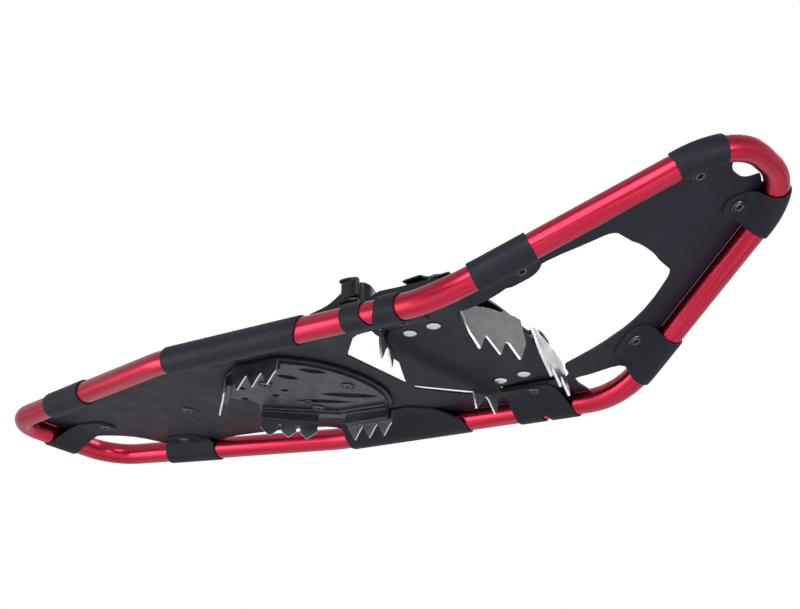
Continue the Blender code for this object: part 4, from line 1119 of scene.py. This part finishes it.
def make_pivot_plate():
    half = [(0, 58.7), (4, 58), (48, 44.6)] + arc((57, 30.5), 13, 62, 0, 10)
    half += [(70, -16.5), (69.2, -20), (66, -22.8), (50, -27.8), (3, -54.6), (0, -55.2)]
    cuts = [LIP_Y - LIP_RUN * k / 8.0 for k in range(13)]
    outline = mirrored(half)
    shape = flat_sheet([outline], (), cuts)
    middle = PLATE_LOW + 0.5 * PLATE_THICK

    def place(x, y):
        past = max(LIP_Y - y, 0.0)
        share = min(past / LIP_RUN, 1.0)
        drop = LIP_DROP * smooth(share) + LIP_SLOPE * max(past - LIP_RUN, 0.0)
        return Vector((x, y, middle - drop))

    bend(shape, place)
    plate = finish_sheet("pivot_plate_sheet", shape, PLATE, PLATE_THICK, 0.0, PIVOT_MATRIX, 0.4)
    settle(plate, "binding", "deck", "pivot_plate")


CLAW_OUTLINE = (
    (8.7, 12), (15, 13.9), (16.2, 13.2), (20.2, 14.8), (21.3, 14.2), (25, 15.4), (26.6, 13.2),
    (33, 13.3), (41, 13.1), (42.4, 12.2), (45.6, 12.6), (47, 11.2), (58, 10.6), (60.5, 8.8),
    (70.4, 7.2), (66.4, -8), (64.3, -16.4), (58.1, -28.9), (57.2, -28.9), (49.9, -15.6),
    (48, -15.6), (38.9, -28.4), (37.9, -28.4), (31.6, -16.4), (29.8, -14.9), (27, -15.1),
    (19.6, -27.1), (18.6, -27.1), (9.4, -10.4),
)
TAB_OUTLINE = (
    (0, 5), (25, 5), (26, -8), (22.9, -20.2), (21.9, -20.2), (15.6, -9.9), (13, -8),
    (10.8, -9.2), (4.1, -19.8), (3.1, -19.8), (0.2, -8),
)


def make_toe_claw():
    half = [(0, 40), (6, 56), (9, 58.5), (66, 43.5), (66, -12), (74, -21.5)]
    half += [(51, -28.5), (45, -14), (0, -10)]
    shape = prism(mirrored(half), CLAW_LOW, CLAW_LOW + CLAW_THICK)
    blade_along = Vector((math.cos(CLAW_SWEEP), -math.sin(CLAW_SWEEP), 0.0))
    lean = math.cos(CLAW_LEAN)
    face = Vector((math.sin(CLAW_SWEEP) * lean, math.cos(CLAW_SWEEP) * lean, math.sin(CLAW_LEAN)))
    blade_up = -face.cross(blade_along)
    tab_along = Vector((math.cos(TAB_SWEEP), math.sin(TAB_SWEEP), 0.0))
    for side in (1, -1):
        place = mirror_place(upright((0.0, CLAW_APEX_Y, 0.0), blade_along, blade_up), side)
        prism(CLAW_OUTLINE, -1.0, 1.0, place, shape, 1)
        place = mirror_place(upright((50.5, -29.0, 0.0), tab_along), side)
        prism(TAB_OUTLINE, -0.9, 0.9, place, shape, 1)
    # The cut edges of the claw and the tabs take the near-white edge finish, partly a painted highlight.
    claw = finish_solid("toe_claw_steel", shape, [CLAW, CLAW_EDGE_STEEL_AND_HIGHLIGHT], PIVOT_MATRIX, 0.25, 2, 30.0)
    settle(claw, "binding", "claw_steel", "toe_claw")


BAND_END_X = 66.0
BAND_END_RUN = 24.0
BAND_END_FRONT = 31.0
BAND_END_WIDTH = 54.0
TWIST_X = 68.0
TWIST_RUN = 10.0


def make_band_middle():
    half = [(0, 31), (40, 29), (BAND_END_X, 26)]
    half += [(BAND_END_X, -11), (40, -13), (0, -14)]
    shape = prism(mirrored(half), BAND_LOW, BAND_LOW + BAND_THICK)
    band = finish_solid("pivot_band_middle", shape, [WRAP], PIVOT_MATRIX, 0.6)
    settle(band, "binding", "wrap", "pivot_band")


def band_end_rows(side):
    """Rows of points across one end, which twists from the binding's plane to the frame's."""
    from_pivot = STAND_MATRIX.inverted() @ PIVOT_MATRIX
    top = DECK_TOP + 2.0 * GAP + WRAP_THICK + 0.2 + 0.5 * BAND_THICK
    rows = []
    for step in range(13):
        share = step / 12.0
        x = BAND_END_X + BAND_END_RUN * share
        ease = smooth(clamp((x - TWIST_X) / TWIST_RUN))
        row = []
        for k in range(9):
            y = (BAND_END_FRONT - BAND_END_WIDTH * k / 8.0) * (1.0 - 0.10 * share)
            near = from_pivot @ Vector((x, y, BAND_LOW + 0.5 * BAND_THICK))
            row.append(Vector((side * x, y, near.z * (1.0 - ease) + top * ease)))
        rows.append(row)
    return rows


def make_band_ends():
    """The springy ends twist between the frame and the binding, shaped to meet both in the rest pose; they
    are put on neither body.
    """
    for side, word in SIDES:
        shape = grid_surface(band_end_rows(side))
        fix_normals(shape)
        end = finish_mesh(f"pivot_band_end_{word}", shape, [WRAP], angle=SOFT_ANGLE)
        add_thickness(end, BAND_THICK - 0.4)
        add_bevel(end, 0.5, 2, RIM_ANGLE)
        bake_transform(end)


BAND_CAP = ((0.0, 1.2, 0), (2.6, 1.1, 0), (3.8, 0.5, 0), (4.0, 0.2, 0), (2.0, 0.2, 0))
BAND_HEAD = (
    (2, -0.2, 0), (5.3, -0.2, 0), (5.4, -0.55, 0), (4.9, -1, 0), (3.6, -1.4, 0),
    (2.2, -1.55, 0), (1.1, -1.5, 0), (0.8, -1.1, 0), (0, -1, 0),
)


def make_band_rivets():
    profile = rivet_profile(BAND_CAP, BAND_HEAD, PLATE_LOW, BAND_LOW + BAND_THICK)
    for word, (x, y) in BAND_RIVETS.items():
        matrix = PIVOT_MATRIX @ Matrix.Translation((x, y, 0.0))
        rivet = revolve(f"bright_rivet_{word}", profile, matrix, [BRIGHT_STEEL], 36)
        settle(rivet, "binding", "bright_rivet", f"band_rivet_{word}")


# ---- harness

def make_footbed():
    half = [(0, 53), (24, 50)] + arc((38, 33), 12, 75, 0, 8)
    half += [(50, -22)] + arc((36, -30), 14, 0, -60, 6) + [(14, -59), (0, -61)]
    shape = prism(mirrored(half), BED_LOW, BED_TOP)
    half = [(0, 49), (24, 46), (31, 41), (33, 35)]
    half += [(33, -30), (14, -54), (0, -56)]
    prism(mirrored(half), BED_LOW + 1.0, BED_TOP + 2.4, shape=shape)
    for index in range(10):
        y = 40.0 - 9.0 * index
        reach = 31.0 if y > -34.0 else 31.0 + (y + 34.0) * 1.1
        bar = rounded([(-reach, y), (reach, y), (reach, y + 4.5), (-reach, y + 4.5)], 1.8, 3)
        prism(bar, BED_TOP + 2.0, BED_TOP + 3.4, shape=shape)
    bed = finish_solid("footbed_moulding", shape, [RUBBER_AND_RECESS_SHADE], PIVOT_MATRIX, 0.5)
    settle(bed, "binding", "harness", "footbed")


WING_ROWS = (
    (-46, 39), (-36, 42.2), (-16, 40.2), (4, 38.6), (20, 36.8), (31, 33.5), (37, 23),
)


def wing_top(y):
    for (y0, z0), (y1, z1) in zip(WING_ROWS, WING_ROWS[1:]):
        if y0 <= y <= y1:
            return z0 + (z1 - z0) * (y - y0) / (y1 - y0)
    return WING_ROWS[-1][1]


WING_REAR = -46.0
WING_RUN = 83.0
WING_STEPS = 36
WING_BASE = BED_TOP + 0.4


def wing_row(side, y):
    """One upright section of a wall, from its foot to its rim, pushed out where a rib runs."""
    top = wing_top(y)
    section = [(36.5, WING_BASE), (51.5, WING_BASE), (57.5, WING_BASE + 2.6), (60.6, WING_BASE + 7)]
    section += [(61.2, 0.5 * (WING_BASE + 8.0 + top)), (60.7, top)]
    rib = 0.55 * max(0.0, math.cos(math.pi * y / 7.0)) ** 3
    row = []
    for p in chaikin([Vector(point) for point in section]):
        push = rib if WING_BASE + 9.0 < p.y < top - 5.0 else 0.0
        row.append(Vector((side * (p.x + push), y, p.y)))
    return row


def make_wings():
    """Side walls of the harness, cut from padded sheet, with raised ribs."""
    for side, word in SIDES:
        places = [WING_REAR + WING_RUN * k / WING_STEPS for k in range(WING_STEPS + 1)]
        shape = grid_surface([wing_row(side, y) for y in places])
        fix_normals(shape)
        if sum(face.normal.x * side * face.calc_area() for face in shape.faces) < 0.0:
            bmesh.ops.reverse_faces(shape, faces=shape.faces[:])
        wing = finish_mesh(f"harness_wall_{word}", shape, [SHELL], PIVOT_MATRIX, 60.0)
        add_thickness(wing, 2.4, -1.0)
        add_bevel(wing, 0.7, 3, RIM_ANGLE)
        settle(wing, "binding", "harness", f"harness_wing_{word}")


STRAP_THICK = 2.2
LADDER_START = 52.0
LADDER_END = 118.0
LADDER_PITCH = 4.0
LADDER_HEIGHT = 1.9


def ribbon(name, path, across, width):
    """A strap of even width along a path of points."""
    steps = [width * (k / 6.0 - 0.5) for k in range(7)]
    line = chaikin([Vector(p) for p in path])
    shape = grid_surface([[point + Vector(across) * step for step in steps] for point in line])
    fix_normals(shape)
    strap = finish_mesh(name, shape, [STRAP], PIVOT_MATRIX, 60.0)
    add_thickness(strap, STRAP_THICK)
    add_bevel(strap, 0.5, 2, RIM_ANGLE)
    return strap


def ladder(name, path, width):
    """Ladder teeth moulded across a strap, between two distances along its path."""
    line = chaikin([Vector(p) for p in path])
    tooth = [(-0.45, 0.0), (0.3, 0.0), (0.3, LADDER_HEIGHT), (0.1, LADDER_HEIGHT)]
    tooth = [(x * LADDER_PITCH, y) for x, y in tooth]
    shape = bmesh.new()
    for a, b, travelled in zip(line, line[1:], distances(line)):
        along = (b - a).normalized()
        position = math.ceil(travelled / LADDER_PITCH) * LADDER_PITCH
        while position < travelled + (b - a).length:
            if LADDER_START <= position <= LADDER_END:
                place = upright(a + along * (position - travelled), along, Vector((0, 1, 0)).cross(along))
                prism(tooth, -0.36 * width, 0.36 * width, place, shape)
            position += LADDER_PITCH
    fix_normals(shape)
    return finish_mesh(name, shape, [STRAP], PIVOT_MATRIX)


TOE_ARCH = ((56.4, 21.0), (55.6, 27.0), (51.0, 32.5), (40.0, 37.5), (22.0, 41.0))
INSTEP_ARCH = ((56.4, 19.0), (55.8, 29.0), (50.0, 37.5), (38.0, 44.5), (20.0, 51.0))
TOE_STRAP_Y = 12.0
INSTEP_STRAP_Y = -16.0


def arch_path(arch, peak, y):
    right = [(x, y, z) for x, z in arch]
    left = [(-x, y, z) for x, z in reversed(arch)]
    return right + [(0.0, y, peak)] + left


TOP_STRAPS = (
    ("toe_strap", TOE_ARCH, 42.4, TOE_STRAP_Y, 18),
    ("instep_strap", INSTEP_ARCH, 53.6, INSTEP_STRAP_Y, 20),
)


def make_top_straps():
    for name, arch, peak, y, width in TOP_STRAPS:
        path = arch_path(arch, peak, y)
        strap = ribbon(f"{name}_band", path, (0.0, 1.0, 0.0), width)
        settle(strap, "binding", "strap", name)
        settle(ladder(f"{name}_ladder", path, width), "binding", "strap")


HEEL_PATH = (
    (-56.2, -28, 31), (-56.2, -40, 32), (-52, -51, 33.5), (-38, -57.5, 35),
    (-18, -60.5, 36), (8, -60.5, 37.5), (30, -57, 40), (46, -51.5, 43.5),
    (56, -50, 46.5), (60.4, -54, 47.5), (61.4, -60, 47.5), (61.4, -68, 45.5),
    (61.4, -77, 40), (61.4, -87, 35.6), (61.4, -104, 33.8),
)


def make_heel_strap():
    strap = ribbon("heel_strap_band", HEEL_PATH, (0.0, 0.0, 1.0), 15.0)
    settle(strap, "heel_strap", "strap", "heel_strap")


# ---- buckles

HEEL_BUCKLE_SIZE = 0.8
LEVER_PROFILE = (
    (-7.4, 4.4), (-7.6, 6.6), (-6.6, 8.4), (-4.4, 9.1), (0, 8.7), (6, 8.6), (10, 9),
    (13, 10), (14, 9.6), (13.8, 8.6), (10, 7.2), (4, 6.3), (-2, 5.9), (-2.8, 4.4),
    (-4.6, 3.7),
)


def buckle_matrix(spot, angle):
    return Matrix.Translation(spot) @ Matrix.Rotation(math.radians(angle), 4, "Y")


CHEEK_PROFILE = ((-10, 0.6), (10, 0.6), (10, 5.0), (4, 8.2), (-2, 9.4), (-8, 9.4), (-10, 7.5))


def buckle_frame_shape():
    """A base between two cheeks."""
    base = rounded([(-10, -12), (10, -12), (10, 12), (-10, 12)], 2.2, 4)
    shape = prism(base, 0.5, 2.6)
    for low, high in ((-12.0, -9.8), (9.8, 12.0)):
        prism(rounded(CHEEK_PROFILE, 1.0, 3), low, high, side_place, shape)
    return shape


def buckle_lever_shape():
    """A curved lever with four finger ribs on its free end."""
    shape = prism(LEVER_PROFILE, -8.9, 8.9, side_place)
    for k in range(4):
        spot = 5.0 + 2.2 * k
        top = 9.9 + 0.15 * k
        prism([(spot, 8.0), (spot + 1.0, 8.0), (spot + 1.0, top), (spot, top)], -7.0, 7.0, side_place, shape)
    return shape


def make_buckle(prefix, matrix, body, lever_body):
    whole = PIVOT_MATRIX @ matrix
    piece = finish_solid(f"{prefix}_buckle_frame", buckle_frame_shape(), [BUCKLE], whole, 0.35)
    settle(piece, body, "buckle", f"{prefix}_buckle")
    lever = finish_solid(f"{prefix}_lever_cam", buckle_lever_shape(), [BUCKLE], whole, 0.3)
    settle(lever, lever_body, "buckle", f"{prefix}_buckle_lever")


def make_buckles():
    make_buckle("toe", buckle_matrix((33.0, TOE_STRAP_Y, 40.2), 13.0), "binding", "toe_lever")
    make_buckle("instep", buckle_matrix((30.0, INSTEP_STRAP_Y, 49.0), 22.0), "binding", "instep_lever")
    turn = Matrix.Rotation(math.radians(90.0), 4, "Z") @ Matrix.Rotation(math.radians(90.0), 4, "X")
    spot = Matrix.Translation((62.6, -61.0, 47.6)) @ turn @ Matrix.Scale(HEEL_BUCKLE_SIZE, 4)
    make_buckle("heel", spot, "heel_strap", "heel_lever")


def dress_cad_nodes():
    """Hidden sleeve and the hinge pins keep their CAD shapes and get their own finish."""
    finishes = {"frame_splice": SLEEVE}
    finishes.update({f"{word}_buckle_pin": PIN for word in ("toe", "instep", "heel")})
    for name, material in finishes.items():
        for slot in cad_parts[name].material_slots:
            slot.material = material


# ---- camera and light

VIEW_PLACE = Vector((0.9100, 0.8089, -0.3886))
VIEW_AHEAD = Vector((-0.7104, -0.6011, 0.3660))
VIEW_UP = Vector((0.3314, 0.1731, 0.9275))
VIEW_LENS = 72.0
SENSOR_WIDTH = 36.0
CLIP_RANGE = (0.01, 50.0)
SKY_SEEN = (1.0, 1.0, 1.0, 1.0)
SKY_FELT = (0.93, 0.96, 1.0, 1.0)
SKY_POWER = 0.55
FLOOR_Z = -0.62
LIGHT_TARGET = Vector((0.0, 0.0, 0.03))
LIGHTS = (
    ("key", (1.3, 0.6, 0.35), (0.9, 0.9), 10),
    ("fill", (0.9, -0.9, -0.35), (0.8, 0.8), 6),
    ("front", (0.5, 1.6, -0.1), (0.8, 0.5), 8),
    ("rim", (-1.2, 0.2, 1), (1.2, 0.6), 10),
)


def make_camera():
    data = bpy.data.cameras.new("camera")
    data.lens = VIEW_LENS
    data.sensor_width = SENSOR_WIDTH
    data.clip_start, data.clip_end = CLIP_RANGE
    camera = bpy.data.objects.new("camera", data)
    ahead = VIEW_AHEAD.normalized()
    right = ahead.cross(VIEW_UP).normalized()
    up = right.cross(ahead)
    turn = Matrix((right, up, -ahead)).transposed()
    camera.matrix_world = Matrix.Translation(VIEW_PLACE) @ turn.to_4x4()
    bpy.context.scene.collection.objects.link(camera)
    bpy.context.scene.camera = camera


def area_light(name, place, size, power):
    data = bpy.data.lights.new(name, "AREA")
    data.shape = "RECTANGLE"
    data.size, data.size_y = size
    data.energy = power
    light = bpy.data.objects.new(name, data)
    light.location = place
    light.rotation_mode = "QUATERNION"
    light.rotation_quaternion = (LIGHT_TARGET - Vector(place)).to_track_quat("-Z", "Y")
    bpy.context.scene.collection.objects.link(light)


def make_world():
    """The camera sees plain white, and the pieces are lit by a dimmer and slightly blue sky."""
    world = bpy.data.worlds.new("studio")
    bpy.context.scene.world = world
    world.use_nodes = True
    world.node_tree.nodes.clear()
    output = node(world, "ShaderNodeOutputWorld")
    seen = node(world, "ShaderNodeBackground", Color=SKY_SEEN, Strength=1.0)
    felt = node(world, "ShaderNodeBackground", Color=SKY_FELT, Strength=SKY_POWER)
    path = node(world, "ShaderNodeLightPath")
    mix = node(world, "ShaderNodeMixShader")
    link(world, path.outputs["Is Camera Ray"], mix.inputs["Fac"])
    link(world, felt.outputs["Background"], mix.inputs[1])
    link(world, seen.outputs["Background"], mix.inputs[2])
    link(world, mix.outputs["Shader"], output.inputs["Surface"])


def make_stage():
    shape = bmesh.new()
    bmesh.ops.create_grid(shape, x_segments=1, y_segments=1, size=4.0)
    mesh = bpy.data.meshes.new("floor")
    shape.to_mesh(mesh)
    shape.free()
    floor = bpy.data.objects.new("floor", mesh)
    floor.location = (0.0, 0.0, FLOOR_Z)
    mesh.materials.append(new_material("floor_paper", (0.86, 0.86, 0.86), 0.9))
    bpy.context.scene.collection.objects.link(floor)
    for light in LIGHTS:
        area_light(*light)


make_camera()
make_world()
make_stage()
make_tube()
make_wrap("nose_wrap", (238.4, 213.0), (241.2, 214.0), 15.5, 36.0, 32.0, 0.95)
make_wrap("toe_wrap", (123.4, 87.0), (123.4, 87.0), 15.0, 35.0, 30.0, 0.80, (-5.0, -7.0))
make_wrap("tail_side_wrap", (-335.0, -391.0), (-344.0, -396.0), 12.5, 28.5, 26.0, 0.55)
make_waist_wrap()
make_pivot_tab()
make_tail_wrap()
make_rivets()
make_deck()
make_heel_pad()
make_heel_blades()
make_heel_plate()
make_heel_screws()
make_pivot_plate()
make_toe_claw()
make_band_middle()
make_band_ends()
make_band_rivets()
make_footbed()
make_wings()
make_top_straps()
make_heel_strap()
make_buckles()
dress_cad_nodes()

bpy.context.scene.view_settings.view_transform = "Standard"
